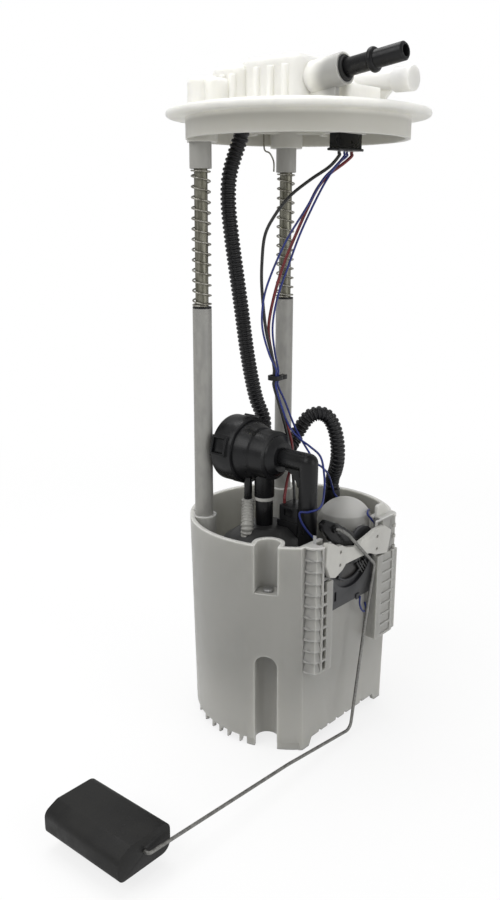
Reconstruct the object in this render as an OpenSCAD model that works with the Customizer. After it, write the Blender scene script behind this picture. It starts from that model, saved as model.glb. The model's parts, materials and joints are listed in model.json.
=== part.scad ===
// Fuel pump module that hangs in a tank: a flange closes the tank opening and two sprung
// guide rods carry a reservoir with the pump, the filter, the regulator and the level sender.
// Origin: flange axis at the seal face under the rim. +Z points out of the tank.
// The flat side of the reservoir, with the level sender, faces -Y.

/* [Flange] */
// Outside diameter of the flange rim
flange_d = 150; // [146:1:156]
// Thickness of the flange rim
rim_t = 4; // [3:0.5:5]
// Diameter of the raised disc on the rim
step_d = 132; // [130:1:136]
// Height of the raised disc above the rim
step_h = 1.5; // [1:0.5:3]
// Diameter of the spigot that fills the tank opening
spigot_d = 127.6; // [127:0.2:129]
// Length of the spigot below the rim
spigot_len = 11.4; // [10:0.2:12.6]
// Wall thickness of the spigot and of the hollow housing
flange_wall = 3; // [2:0.5:3.5]
// Height of the highest part of the housing
housing_h = 32; // [31:0.5:36]
// Height of the middle part of the housing
shoulder_h = 28; // [26:0.5:30]
// Height of the round part over the left guide rod
rod_dome_h = 21; // [19:0.5:24]

/* [Fuel outlet] */
// Diameter of the quick connect nipple
nipple_d = 9.5; // [8.5:0.1:9.8]
// Bore of the nipple
nipple_bore = 6; // [4:0.5:6.5]
// Length of the nipple outside its boss
nipple_len = 37; // [34:0.5:42]
// Diameter of the retaining bead
bead_d = 13; // [12:0.2:13.6]
// Distance of the bead from the boss face
bead_from_boss = 18; // [16:0.5:22]
// Tilt of the nipple above the horizontal
nipple_tilt = 8; // [4:1:9]
// Outside diameter of the boss that holds the nipple
boss_d = 16.8; // [16.4:0.2:17.6]
// Diameter of the seal collar in the mouth of the boss
seal_d = 13.8; // [13.2:0.2:14]

/* [Vent and sockets] */
// Diameter of the vent valve body
vent_d = 22; // [20:0.5:24]
// Diameter of the vent spigot
vent_spigot_d = 11; // [9:0.5:12]
// Diameter of the cap on the vent spigot
vent_cap_d = 14; // [13.5:0.5:16]
// Length of the electrical socket
socket_w = 34; // [32:0.5:36]
// Depth of the electrical socket
socket_d = 18; // [17:0.5:20]
// Height of the electrical socket above the seal plane
socket_h = 17; // [15:0.5:19]
// Number of terminals
terminals = 4; // [2:1:4]

/* [Guide rods and springs] */
// Distance of each guide rod from the centre planes
rod_at = 39.2; // [38.8:0.1:39.4]
// Diameter of the guide rods
rod_d = 7.8; // [7:0.1:8]
// Wall thickness of the hollow rods
rod_wall = 1; // [0.8:0.1:1.4]
// Outside diameter of the sleeves over the rods
sleeve_d = 12.7; // [12.4:0.1:13]
// Distance of the sleeve ends below the seal plane
sleeve_reach = 27.4; // [26:0.2:30]
// Wire diameter of the springs
spring_wire = 1.05; // [0.8:0.05:1.1]
// Mean diameter of the springs
spring_d = 10.6; // [10.4:0.1:11]
// Number of turns of each spring
spring_turns = 14.7; // [12:0.1:15.5]
// Outside diameter of the guide tubes
tube_d = 11.4; // [11.2:0.1:11.6]
// Distance of the guide tube tops below the seal plane
tube_top = 106.5; // [104:0.5:112]

/* [Reservoir] */
// Distance of the reservoir rim below the seal plane
rim_depth = 235; // [233:0.5:237]
// Height of the reservoir wall
bucket_h = 127; // [124:1:132]
// Outside diameter of the reservoir at its rim
bucket_d = 128.6; // [128:0.2:130]
// Outside diameter of the reservoir at its foot
bucket_foot_d = 122.4; // [121:0.2:123]
// Distance of the flat side from the centre
flat_at = 44; // [43.8:0.1:44.4]
// Wall thickness of the reservoir
bucket_wall = 2.4; // [2:0.1:2.6]
// Width of the groove down the side of the reservoir
groove_w = 14; // [13:0.5:15]
// Height of the screw seat below the rim
screw_seat = 30; // [28:0.5:33]
// Spacing of the ribs on the sender rails
rib_pitch = 7.1; // [6.5:0.1:8]
// Thickness of the ribs on the sender rails
rib_t = 1.3; // [1:0.1:1.6]

/* [Filter and pump] */
// Outside diameter of the filter canister
canister_d = 54; // [52:0.5:54.4]
// Distance of the canister rim below the reservoir rim
canister_drop = 12; // [11:0.5:14]
// Outside diameter of the pump
pump_d = 38; // [36:0.5:40]
// Diameter of the motor shaft
shaft_d = 3; // [2.5:0.1:4]
// Outside diameter of the hoses
hose_d = 9.4; // [9:0.1:9.6]

/* [Level sender] */
// Distance of the arm pivot below the reservoir rim
pivot_drop = 13; // [12:0.2:14]
// Diameter of the arm wire
arm_d = 2; // [1.8:0.1:2.2]
// Diameter of the pivot pin
pivot_d = 4; // [3:0.2:5]
// Width of the float
float_w = 34.5; // [32:0.5:38]
// Height of the float
float_h = 17; // [15:0.5:19]
// Length of the float
float_len = 56; // [52:1:60]

/* [Fits] */
// Radial clearance of sliding and turning parts
run_fit = 0.05; // [0.02:0.01:0.08]
// Gap between neighbours that do not touch
gap = 0.3; // [0.2:0.05:0.4]

/* [Hidden] */
$fn = 64;
cut = 0.01;

// Flange and outlet
step_top = rim_t + step_h;
spigot_r = spigot_d / 2;
boss_drop = 13;
boss_clip = 0.8;
rod_boss_r = 10;
boss_x = -8;
boss_y = -37.6;
boss_z = 22.8;
boss_back = 22;
hose_top = [-13.3, 31.1, -3];
socket_at = [18.5, -24];
socket_corner = 3;
pin_step = 6;
pin_t = 0.8;
connector_at = [18, -21];
connector_w = 22.2;
connector_t = 7.2;
connector_z = -17.3;
connector_top = -3;
vent_at = [step_d / 2 - 23, -6];
vent_z = 22;
vent_end = 26 - flange_d / 2;
vent_body_h = 20;

// Guide rods
rod_r = rod_d / 2;
tube_r = tube_d / 2;
tube_wall = 0.9;
bushing_lip = 1;
bushing_len = 24;
rod_reach = tube_top + bushing_len;
stop_t = 3;
spring_top = -sleeve_reach - spring_wire / 2 - run_fit;
spring_bottom = -tube_top + bushing_lip + spring_wire / 2 + run_fit;
spring_len = spring_top - spring_bottom;

// Reservoir
rim_z = -rim_depth;
foot_z = rim_z - bucket_h;
floor_z = foot_z + 6;
floor_t = 2.4;
bucket_r = bucket_d / 2;
foot_r = bucket_foot_d / 2;
socket_wall = 1.8;
tube_end = 65;
tube_foot = rim_z - tube_end;
groove_angle = -155.3;
groove_r = groove_w / 2;
groove_at = 57.5;
groove_low = 70;
tooth_h = 5;
tooth_w = 4.6;
tooth_angles = [144.5, 156, 165, 172, 179, 188];
foot_pads = [[-150.5, 16.5], [-167, 7]];
rail_y = -53;
rail_len = 79;
rail_ribs = 11;
rail_curve = 7;
card_slot_y = -49.2;
bracket_back = -50.8;
bracket_front = -54;
bracket_low = -258;

check_at = [12, 34];

// Filter, pump and regulator
canister_at = [-22, 2];
canister_r = canister_d / 2;
canister_top = rim_z - canister_drop;
strainer_t = 3;
canister_foot = floor_z + strainer_t;
canister_wall = 2;
lid_rise = 9;
lid_top = canister_top + lid_rise;
lid_flat_r = 14;
pump_r = pump_d / 2;
pump_top = canister_top - 12;
pump_foot = canister_foot + canister_wall + 8;
cap_h = 12;
pump_shell = 1.5;
regulator_x = -22;
regulator_z = -193;
tee_y = 4.5;
elbow_y = -29;
elbow_r = 5.7;
elbow_foot = canister_top - 21;
port_r = 8;
ring_z = -220;
loop_start = [0, 5, -194];
pipe_at = [8, 30];
pipe_top = -188;
pipe_turn = -202;
pipe_y = 10.8;
pipe_r = 3.8;
block_at = [-10.5, -11];
block_w = 15;
block_top = -225;
stand_at = [26, -23];
stand_r = 18;
stand_top = rim_z + 8;
jet_at = [39, -3];
jet_base_r = 5.4;
cuff_top = -228;
drain_from = [-28, 12.5];
drain_low = -222;
drain_to = [-37.5, 5];
drain_seat = rim_z - 2.7;
hose_r = hose_d / 2;

tie_at = [-6.9, 8.8, -150.4];

// Level sender
pivot_x = -3;
pivot_z = rim_z - pivot_drop;
arm_y = -56;
arm_r = arm_d / 2;
arm_turn = 1.6;
float_pin = 20;
sender_back = -flat_at - 0.2;
sender_floor = -46.4;
sender_front = -48.6;
sender_low = -281;
sender_left = -36.8;
sender_right = 27;
recess_r = 23;
hub_back = -47;
hub_front = -50.3;
float_at = [-180.5, -350.4];
float_near = -53.2;
float_drop = 0.5;

// Routes of hoses, wires and the strap, as points in millimetres
main_route = [
  [hose_top.x, hose_top.y, hose_top.z - gap], [hose_top.x, hose_top.y, hose_top.z - 3],
  [hose_top.x, hose_top.y, hose_top.z - 6], [-14.6, 33, -15], [-17.6, 36.3, -30],
  [-17.3, 37.7, -45.7], [-15, 37.3, -65.5], [-11.3, 36.7, -87], [-7.4, 36.3, -108],
  [-1.6, 35.7, -140], [3.6, 33.8, -165], [7, 31.2, -176.6],
  [pipe_at.x, pipe_at.y, pipe_top + 6], [pipe_at.x, pipe_at.y, pipe_top + 3],
  [pipe_at.x, pipe_at.y, pipe_top + gap]
];
loop_route = [
  [loop_start.x + gap, loop_start.y, loop_start.z], [loop_start.x + 1.8, loop_start.y, loop_start.z],
  [loop_start.x + 3.6, loop_start.y, loop_start.z], [7.6, 5.6, -191.6], [10.6, 4.9, -186.6],
  [12.8, 2, -180.5], [15.4, -1.3, -175.4], [19.5, -6.1, -173.7], [23.2, -10.4, -176.6],
  [25.8, -13.4, -184.4], [27, -14.9, -194.2], [27.8, -14.6, -204], [31.6, -10.4, -213],
  [36.8, -5.2, -218.8], [jet_at.x, jet_at.y, cuff_top + 4.6], [jet_at.x, jet_at.y, cuff_top + 2.4],
  [jet_at.x, jet_at.y, cuff_top + gap]
];
drain_route = [
  [drain_from.x, drain_from.y, drain_low - gap], [drain_from.x, drain_from.y, drain_low - 1.8],
  [drain_from.x, drain_from.y, drain_low - 3.3], [-30.2, 11.2, -227.6], [-33.6, 8.6, -230],
  [-36.4, 6, -232.4], [drain_to.x, drain_to.y, drain_seat + 3.3],
  [drain_to.x, drain_to.y, drain_seat + 1.8], [drain_to.x, drain_to.y, drain_seat + gap]
];
strap_route = [
  [26, 46.8, -0.4], [26, 46.8, -3], [26.4, 46.6, -13.5], [28.6, 44, -16],
  [30.2, 42.1, -21], [30.3, 42, -27]
];
black_route = [
  [14.4, -19, -17.5], [14.4, -19, -18.7], [14.4, -19, -20], [12, -14, -26],
  [4.9, -5.7, -33.3], [-2.5, 2.9, -42.2], [-8.1, 9.4, -52.9], [-11.8, 13.8, -64.3],
  [-12.9, 15.1, -79.8], [-12.9, 15, -96], [-11.2, 13.1, -120], [-8.8, 10.3, -135],
  [-7.9, 9.2, -143.5], [-7.9, 9.2, -146.5], [-7.9, 9.2, -149]
];
red_route = [
  [24, -21, -17.5], [24, -21, -18.7], [24, -21, -20], [20.8, -17.4, -24.2], [15.2, -11.8, -30],
  [11, -6.8, -37.7], [7, -2.2, -50], [2.8, 2.4, -64.2], [-1.7, 6.9, -79.8], [-5.2, 10.6, -96],
  [-7.6, 13.3, -113], [-7.8, 13.6, -124], [-6.4, 12.2, -135], [-5.4, 10.7, -143.5],
  [-5.4, 10.7, -146.5], [-5.4, 10.7, -149]
];
blue_a_route = [
  [17.6, -20.4, -17.5], [17.6, -20.4, -18.7], [17.6, -20.4, -20], [13.8, -16.4, -26.3],
  [8, -12, -33.8], [1.8, -6.2, -48.4], [-6, 2.2, -67], [-12, 8.9, -87], [-14.8, 12.2, -102],
  [-15.2, 12.6, -118], [-12, 9.8, -134], [-8.6, 6.9, -143.5], [-8.6, 6.9, -146.5],
  [-8.6, 6.9, -149]
];
blue_b_route = [
  [20.8, -20, -17.5], [20.8, -20, -18.7], [20.8, -20, -20], [17.2, -17, -24], [12.8, -13, -31.6],
  [8.7, -7.4, -44.4], [2.9, -0.6, -64], [-1.5, 4.6, -83], [-5.4, 9.2, -101], [-7.2, 11.2, -118],
  [-6.5, 10, -133], [-5.2, 8.2, -143.5], [-5.2, 8.2, -146.5], [-5.2, 8.2, -149]
];
black_low = [
  [-7.9, 9.2, -149.2], [-7.9, 9.2, -151.2], [-7.9, 9.2, -154.2], [-7.2, 6, -164],
  [-5.8, 1.8, -178], [-5.2, -1.4, -191], [-6.4, -4.8, -204], [-9, -8.2, -214],
  [-9.8, -9.4, -220.7], [-9.8, -9.4, -222.7], [-9.8, -9.4, -224.7]
];
red_low = [
  [-5.4, 10.7, -149.2], [-5.4, 10.7, -151.2], [-5.4, 10.7, -154.2], [-5, 7, -164],
  [-3.4, 2.2, -178], [-2.6, -1.4, -191], [-4.6, -2, -204], [-9.6, -3.4, -212],
  [-14, -5, -220.7], [-14, -5, -222.7], [-14, -5, -224.7]
];
blue_a_low = [
  [-8.6, 6.9, -149.2], [-8.6, 6.9, -151.2], [-8.6, 6.9, -154.2], [-8.4, 3.4, -164],
  [-7.4, -2.4, -177], [-9.2, -12, -183.4], [-14.6, -24, -185.2], [-15.2, -32.5, -190],
  [-16, -36, -200], [-16.6, -36.8, -210], [-20.6, -37.4, -218.5], [-27.8, -34.2, -220.6],
  [-30.2, -29.4, -221.6], [-29.2, -30.6, -228], [-26, -35.8, -236], [-19, -37, -240],
  [-14, -31, -243], [-12.6, -23.5, -245.6]
];
blue_b_low = [
  [-5.2, 8.2, -149.2], [-5.2, 8.2, -151.2], [-5.2, 8.2, -154.2], [-3.2, 4, -164],
  [-1.2, -1.6, -178], [-0.4, -8, -188], [1, -16.6, -199], [7, -17.4, -203.8],
  [13.6, -16.4, -208.5], [20.4, -14.2, -214.5], [26, -12.4, -222], [33.6, -9.6, -230],
  [41.6, -11, -234.5], [45, -19, -236.5], [43.6, -29, -236.5], [36, -37.5, -235.5],
  [28.5, -40.3, -235], [24.3, -40.9, -237.5], [22.6, -42.2, -241.5], [22, -43.6, -243.5]
];
sender_route = [
  [6.1, -49.6, -280.5], [6.3, -49.4, -285.5], [8.9, -49, -290.3], [12.8, -48.6, -293.4],
  [16.4, -47.6, -293.2], [18.4, -45.2, -290]
];
// Centre line of the arm wire in its own plane, from the hub to the float
arm_path = [
  [-24.3, -228], [-17.8, -232.5], [10.9, -258.9], [2.9, -294.8], [-9.5, -363],
  [-72, -356.5], float_at
];
// Bend radius at each of those points
arm_bends = [arm_turn, 6, 4, 60, 5, 60, arm_turn];

// Swept tubes

function unit(v) = v / norm(v);
function blend(a, b, c, d, t) = 0.5 * (2 * b + (c - a) * t
  + (2 * a - 5 * b + 4 * c - d) * t * t + (3 * b - a - 3 * c + d) * t * t * t);
function smooth(p, n) = [
  for (i = [0:len(p) - 2]) for (j = [0:n - 1])
    blend(p[max(i - 1, 0)], p[i], p[i + 1], p[min(i + 2, len(p) - 1)], j / n),
  p[len(p) - 1]
];
function along(p, i) = unit(p[min(i + 1, len(p) - 1)] - p[max(i - 1, 0)]);
function side_of(s, t) = unit(s - (s * t) * t);

// One closed tube of radius r along the points of path
module swept(path, r, sides) {
  last = len(path) - 1;
  start = side_of(abs(along(path, 0).x) < 0.9 ? [1, 0, 0] : [0, 1, 0], along(path, 0));
  normals = [
    for (i = 0, s = start; i <= last;
         i = i + 1, s = i <= last ? side_of(s, along(path, i)) : s) s
  ];
  points = [
    for (i = [0:last]) for (k = [0:sides - 1])
      let (t = along(path, i), a = 360 * k / sides)
        path[i] + r * (cos(a) * normals[i] + sin(a) * cross(t, normals[i]))
  ];
  walls = [
    for (i = [0:last - 1]) for (k = [0:sides - 1])
      let (m = (k + 1) % sides)
        [i * sides + k, i * sides + m, (i + 1) * sides + m, (i + 1) * sides + k]
  ];
  ends = [
    [for (k = [sides - 1:-1:0]) k],
    [for (k = [0:sides - 1]) last * sides + k]
  ];
  polyhedron(points, concat([for (w = walls) [w[3], w[2], w[1], w[0]]],
    [for (e = ends) [for (k = [sides - 1:-1:0]) e[k]]]), convexity = 6);
}

// General shapes

module tube(r, inner, h) {
  difference() {
    cylinder(r = r, h = h);
    translate([0, 0, -cut]) cylinder(r = inner, h = h + 2 * cut);
  }
}

module along_y(x, z, y0, y1, r) {
  translate([x, y1, z]) rotate([90, 0, 0]) cylinder(r = r, h = y1 - y0);
}

module rounded(w, d, r) {
  square([w - 2 * r, d], center = true);
  square([w, d - 2 * r], center = true);
  for (x = [-1, 1], y = [-1, 1])
    translate([x * (w / 2 - r), y * (d / 2 - r)]) circle(r);
}

// A block between two heights with round corners and a rounded top edge
module soft_block(x0, x1, y0, y1, top, corner, edge) {
  hull() {
    for (x = [x0 + corner, x1 - corner], y = [y0 + corner, y1 - corner]) {
      translate([x, y, 0]) cylinder(r = corner, h = top - edge, $fn = 32);
      translate([x, y, top - 2 * edge]) cylinder(r = corner - edge / 4, h = edge * 1.5, $fn = 32);
      translate([x, y, top - edge]) cylinder(r = corner - edge, h = edge, $fn = 32);
    }
  }
}

module rounded_block(x0, x1, y0, y1, z0, z1, corner) {
  translate([(x0 + x1) / 2, (y0 + y1) / 2, z0])
    linear_extrude(z1 - z0) rounded(x1 - x0, y1 - y0, corner);
}

// Flange

module flange_disc() {
  rotate_extrude() {
    difference() {
      union() {
        translate([0, 0]) square([flange_d / 2 - rim_t / 2, rim_t]);
        translate([flange_d / 2 - rim_t / 2, rim_t / 2]) circle(rim_t / 2);
        square([step_d / 2 - step_h, step_top]);
        square([step_d / 2, step_top - step_h]);
        translate([step_d / 2 - step_h, rim_t]) circle(step_h);
        translate([spigot_r - flange_wall, -spigot_len]) square([flange_wall, spigot_len + rim_t / 2]);
      }
      translate([-flange_d, -flange_d / 2]) square([flange_d, flange_d]);
    }
  }
}

module on_nipple_axis(from) {
  translate([boss_x, boss_y, boss_z]) rotate([90 - nipple_tilt, 0, 0]) translate([0, 0, from]) children();
}

module housing_solid() {
  translate([-rod_at, rod_at, 0]) {
    cylinder(r = 7, h = rod_dome_h - 3);
    translate([0, 0, rod_dome_h - 3]) rotate_extrude() {
      square([4, 3]);
      intersection() {
        translate([4, 0]) circle(3);
        square([7, 3]);
      }
    }
  }
  soft_block(-42, -20, 26, 42.5, rod_dome_h, 6, 3);
  soft_block(-28, -2, 20, 43, shoulder_h, 6, 3);
  soft_block(-22, 14, -16, 27, housing_h, 7, 4);
  soft_block(10, 32, -6, 24, rod_dome_h, 6, 3);
  for (y = [25, 32, 39]) translate([-28, y, 0]) cylinder(r = 2.2, h = shoulder_h - 5);
  for (y = [-8, 2, 12]) translate([-22, y, 0]) cylinder(r = 2.2, h = housing_h - 6);
}

module housing_cavity() {
  w = flange_wall;
  rounded_block(-22 + w, 14 - w, -16 + w, 27 - w, -1, housing_h - w, 4);
  rounded_block(-28 + w, -2 - w, 27 + 2 * w, 43 - w, step_top, shoulder_h - w, 3);
  rounded_block(14 + w, 32 - w, -6 + w, 24 - w, -1, rod_dome_h - w, 3);
}

module rod_places() {
  translate([-rod_at, rod_at, 0]) children();
  translate([rod_at, rod_at, 0]) children();
}

module spigot_ribs() {
  for (a = [20, 70, 160, 200, 250, 290, 340])
    rotate(a) translate([spigot_r - flange_wall - 14, -1, -6]) cube([14 + flange_wall / 2, 2, 6]);
  translate([0, 0, -5]) tube(spigot_r - 15, spigot_r - 17, 5);
}

module socket_shape(inset) {
  translate(socket_at) rounded(socket_w - 2 * inset, socket_d - 2 * inset, socket_corner - inset / 2);
}

module terminal_places() {
  for (i = [0:terminals - 1])
    translate([connector_at.x + (i - (terminals - 1) / 2) * pin_step, connector_at.y, 0]) children();
}

module flange() {
  color("white") difference() {
    union() {
      flange_disc();
      housing_solid();
      on_nipple_axis(-boss_back) cylinder(r = boss_d / 2, h = boss_back);
      translate([boss_x - 2, boss_y + 5, step_top - 1]) cube([4, 20, boss_z - boss_d / 2 - 3]);
      linear_extrude(socket_h) socket_shape(0);
      intersection() {
        cylinder(r = spigot_r - boss_clip, h = 2 * boss_drop, center = true);
        rod_places() translate([0, 0, -boss_drop])
          cylinder(r = rod_boss_r, h = boss_drop + rim_t / 2);
      }
      intersection() {
        cylinder(r = spigot_r - flange_wall / 2, h = 20, center = true);
        spigot_ribs();
      }
      translate([hose_top.x, hose_top.y, hose_top.z]) cylinder(r = hose_r + 1.2, h = -hose_top.z + 1);
      translate([vent_at.x, vent_at.y, rim_t]) cylinder(r = vent_d / 2 + 2, h = step_h + 1.5);
      rounded_block(connector_at.x - connector_w / 2 - 2, connector_at.x + connector_w / 2 + 2,
        connector_at.y - connector_t / 2 - 2, connector_at.y + connector_t / 2 + 2, -8, 1, 1.5);
    }
    housing_cavity();
    on_nipple_axis(-15) cylinder(r = nipple_d / 2 + run_fit, h = 20);
    on_nipple_axis(-3) cylinder(r = seal_d / 2 + run_fit, h = 8);
    translate([0, 0, step_top]) linear_extrude(socket_h) socket_shape(2.2);
    terminal_places() translate([-pin_t - run_fit, -pin_t / 2 - run_fit, -10])
      cube([2 * pin_t + 2 * run_fit, pin_t + 2 * run_fit, 20]);
    rod_places() translate([0, 0, -boss_drop - cut])
      cylinder(r = sleeve_d / 2 + run_fit, h = boss_drop + cut);
    translate([
      connector_at.x - connector_w / 2 - run_fit,
      connector_at.y - connector_t / 2 - run_fit,
      -8 - cut
    ])
      cube([
        connector_w + 2 * run_fit,
        connector_t + 2 * run_fit,
        8 + connector_top + cut + run_fit
      ]);
    translate([strap_route[0].x, strap_route[0].y, -1]) cylinder(r = 0.8, h = 1.6, $fn = 24);
  }
}

module outlet_nipple() {
  color("#1c1c1e") on_nipple_axis(0) difference() {
    union() {
      translate([0, 0, -14.5]) cylinder(r = nipple_d / 2, h = nipple_len + 14.5 - 0.8);
      translate([0, 0, nipple_len - 0.8 - cut]) cylinder(r1 = nipple_d / 2, r2 = nipple_d / 2 - 0.8, h = 0.8);
      translate([0, 0, bead_from_boss]) rotate_extrude() translate([nipple_d / 2 - 0.2, 0])
        circle((bead_d - nipple_d) / 2 + 0.2, $fn = 48);
    }
    translate([0, 0, -15]) cylinder(r = nipple_bore / 2, h = nipple_len + 16);
  }
}

module nipple_seal() {
  color("#161618") on_nipple_axis(0) {
    translate([0, 0, -3]) tube(seal_d / 2, nipple_d / 2 + run_fit, 3.6);
    translate([0, 0, 0.6]) tube(seal_d / 2 - 0.8, nipple_d / 2 + run_fit, 0.9);
  }
}

module vent_valve() {
  z0 = rim_t + step_h + 1.5;
  color("white") difference() {
    union() {
      translate([vent_at.x, vent_at.y, z0]) cylinder(r = vent_d / 2, h = vent_body_h - z0);
      translate([vent_at.x, vent_at.y, vent_body_h]) cylinder(r1 = vent_d / 2, r2 = vent_d / 2 - 3, h = 3);
      along_y(vent_at.x, vent_z, vent_end + 3, vent_at.y, vent_spigot_d / 2);
      translate([vent_at.x - 1.2, 0, 0]) rotate([90, 0, 90]) linear_extrude(2.4)
        polygon([
          [vent_at.y, z0], [vent_at.y - 20, z0], [vent_end + 14, vent_z - 5],
          [vent_end + 14, vent_z], [vent_at.y, vent_z]
        ]);
    }
    along_y(vent_at.x, vent_z, vent_end - 1, vent_at.y, vent_spigot_d / 2 - 2);
    translate([vent_at.x, vent_at.y, z0 - 1]) cylinder(r = vent_d / 2 - 2, h = vent_body_h - z0 - 4);
  }
}

module vent_cap() {
  color("white") difference() {
    along_y(vent_at.x, vent_z, vent_end, vent_end + 12, vent_cap_d / 2);
    along_y(vent_at.x, vent_z, vent_end + 2.8, vent_end + 13, vent_spigot_d / 2 + run_fit);
  }
}

module harness_connector() {
  color("#202022") translate([connector_at.x, connector_at.y, 0]) difference() {
    union() {
      translate([-connector_w / 2, -connector_t / 2, connector_z])
        cube([connector_w, connector_t, connector_top - connector_z]);
      translate([-connector_w / 2 - 1, -connector_t / 2 - 0.8, connector_z])
        cube([connector_w + 2, connector_t + 1.6, 1.4]);
    }
    translate([-connector_at.x, -connector_at.y, 0]) terminal_places()
      translate([-pin_t - run_fit, -pin_t / 2 - run_fit, -10])
        cube([2 * pin_t + 2 * run_fit, pin_t + 2 * run_fit, 10]);
  }
}

module terminal_pins() {
  color("gold") terminal_places() {
    translate([-pin_t, -pin_t / 2, -9]) cube([2 * pin_t, pin_t, step_top + 9 + 7]);
  }
}

// Guide rods, sleeves, springs and tubes

module guide_rod() {
  color("#8a8778") translate([0, 0, -rod_reach]) tube(rod_r, rod_r - rod_wall, rod_reach - gap);
}

module rod_sleeve() {
  color("#a3a29c") translate([0, 0, -sleeve_reach]) tube(sleeve_d / 2, rod_r + run_fit, sleeve_reach - gap);
}

module rod_stop() {
  color("#3a3a3a") {
    translate([0, 0, -rod_reach - stop_t]) cylinder(r = tube_r - tube_wall - run_fit * 4, h = stop_t);
    translate([0, 0, -rod_reach]) cylinder(r = rod_r - rod_wall - run_fit, h = 8);
  }
}

// Drop of a spring after n of its turns, with one closed turn at each end
function spring_drop(n, turns) = let (closed = spring_wire * 1.1, open = spring_len - 2 * closed)
  n < 1 ? n * closed
  : n > turns - 1 ? spring_len - (turns - n) * closed
  : closed + open * (n - 1) / (turns - 2);

module spring() {
  steps = 12;
  count = round(spring_turns * steps);
  path = [
    for (i = [0:count]) let (n = i / steps, a = 360 * n)
      [spring_d / 2 * cos(a), spring_d / 2 * sin(a), spring_top - spring_drop(n, count / steps)]
  ];
  color("#77756c") swept(path, spring_wire / 2, 6);
}

module guide_tube() {
  color("#b3b2ad") translate([0, 0, tube_foot]) tube(tube_r, tube_r - tube_wall, -tube_top - tube_foot);
}

module tube_bushing() {
  color("#2b2b2b") difference() {
    union() {
      translate([0, 0, -tube_top]) cylinder(r = tube_r, h = bushing_lip);
      translate([0, 0, -tube_top - bushing_len + gap])
        cylinder(r = tube_r - tube_wall - run_fit, h = bushing_len - gap);
    }
    translate([0, 0, -tube_top - bushing_len - 1]) cylinder(r = rod_r + run_fit, h = bushing_len + 4);
  }
}

module guide_rod_left() translate([-rod_at, rod_at, 0]) guide_rod();
module guide_rod_right() translate([rod_at, rod_at, 0]) guide_rod();
module rod_sleeve_left() translate([-rod_at, rod_at, 0]) rod_sleeve();
module rod_sleeve_right() translate([rod_at, rod_at, 0]) rod_sleeve();
module rod_stop_left() translate([-rod_at, rod_at, 0]) rod_stop();
module rod_stop_right() translate([rod_at, rod_at, 0]) rod_stop();
module spring_left() translate([-rod_at, rod_at, 0]) spring();
module spring_right() translate([rod_at, rod_at, 0]) spring();
module guide_tube_left() translate([-rod_at, rod_at, 0]) guide_tube();
module guide_tube_right() translate([rod_at, rod_at, 0]) guide_tube();
module tube_bushing_left() translate([-rod_at, rod_at, 0]) tube_bushing();
module tube_bushing_right() translate([rod_at, rod_at, 0]) tube_bushing();

module ground_strap() {
  color("#6f6d66") swept(smooth(strap_route, 4), 0.4, 6);
}

// Hoses and wires

module main_hose() color("#1e1e20") swept(smooth(main_route, 3), hose_r, 12);
module loop_hose() color("#1e1e20") swept(smooth(loop_route, 3), hose_r, 12);
module drain_hose() color("#b9b8b3") swept(smooth(drain_route, 3), 3.35, 10);
module wire_black() color("#151517") swept(smooth(black_route, 3), 0.95, 8);
module wire_red() color("#5d1f22") swept(smooth(red_route, 3), 0.95, 8);
module wire_blue_a() color("#1d2340") swept(smooth(blue_a_route, 3), 0.65, 8);
module wire_blue_b() color("#1d2340") swept(smooth(blue_b_route, 3), 0.65, 8);

module harness_lower() {
  color("#151517") swept(smooth(black_low, 2), 0.95, 8);
  color("#5d1f22") swept(smooth(red_low, 2), 0.95, 8);
  color("#1d2340") swept(smooth(blue_a_low, 2), 0.65, 6);
  color("#1d2340") swept(smooth(blue_b_low, 2), 0.65, 6);
}

module sender_wires() color("#1d2340") swept(smooth(sender_route, 3), 0.6, 6);

module cable_tie() {
  color("#1a1a1c") translate(tie_at) {
    difference() {
      linear_extrude(2.8) rounded(8.6, 8.2, 3);
      translate([0, 0, -1]) linear_extrude(5) rounded(6.6, 6.2, 2.4);
    }
    translate([3.6, -3.4, 0]) cube([3.6, 3.6, 2.8]);
  }
}

// Reservoir

module bucket_cone(inset, z0, z1) {
  intersection() {
    translate([0, 0, foot_z]) cylinder(r1 = foot_r - inset, r2 = bucket_r - inset, h = bucket_h, $fn = 96);
    translate([-bucket_d, -flat_at + inset, z0]) cube([2 * bucket_d, 2 * bucket_d, z1 - z0]);
  }
}

module at_groove() {
  rotate(groove_angle) translate([groove_at, 0, 0]) children();
}

module groove_cut(z0, z1) {
  at_groove() translate([0, 0, z0]) {
    cylinder(r = groove_r, h = z1 - z0);
    translate([0, -groove_r, 0]) cube([20, groove_w, z1 - z0]);
  }
}

// Sawtooth feet and plain pads under the round wall
module bucket_foot() {
  for (a = tooth_angles) rotate(a)
    translate([foot_r - bucket_wall - 0.6, 0, foot_z]) rotate([90, 0, 90])
      linear_extrude(bucket_wall) polygon([
        [0, 1.5], [0, -tooth_h], [0.8, -tooth_h], [1.6, -tooth_h / 2], [tooth_w + 0.4, 1.5]
      ]);
  for (pad = foot_pads) rotate(pad[0]) translate([0, 0, foot_z - tooth_h])
    rotate_extrude(angle = pad[1])
      translate([foot_r - bucket_wall - 0.6, 0]) square([bucket_wall, tooth_h + 1]);
}

// Outline of one sender rail seen from above, from the round corner to the inner edge
module rail_outline(corner, inner) {
  s = sign(corner);
  turn = corner - s * rail_curve;
  difference() {
    translate([min(corner, inner), rail_y]) square([abs(corner - inner), -flat_at - rail_y + 0.5]);
    difference() {
      translate([min(turn, corner + s), rail_y - 1]) square([rail_curve + 1, rail_curve + 1]);
      translate([turn, rail_y + rail_curve]) circle(rail_curve);
    }
  }
}

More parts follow.
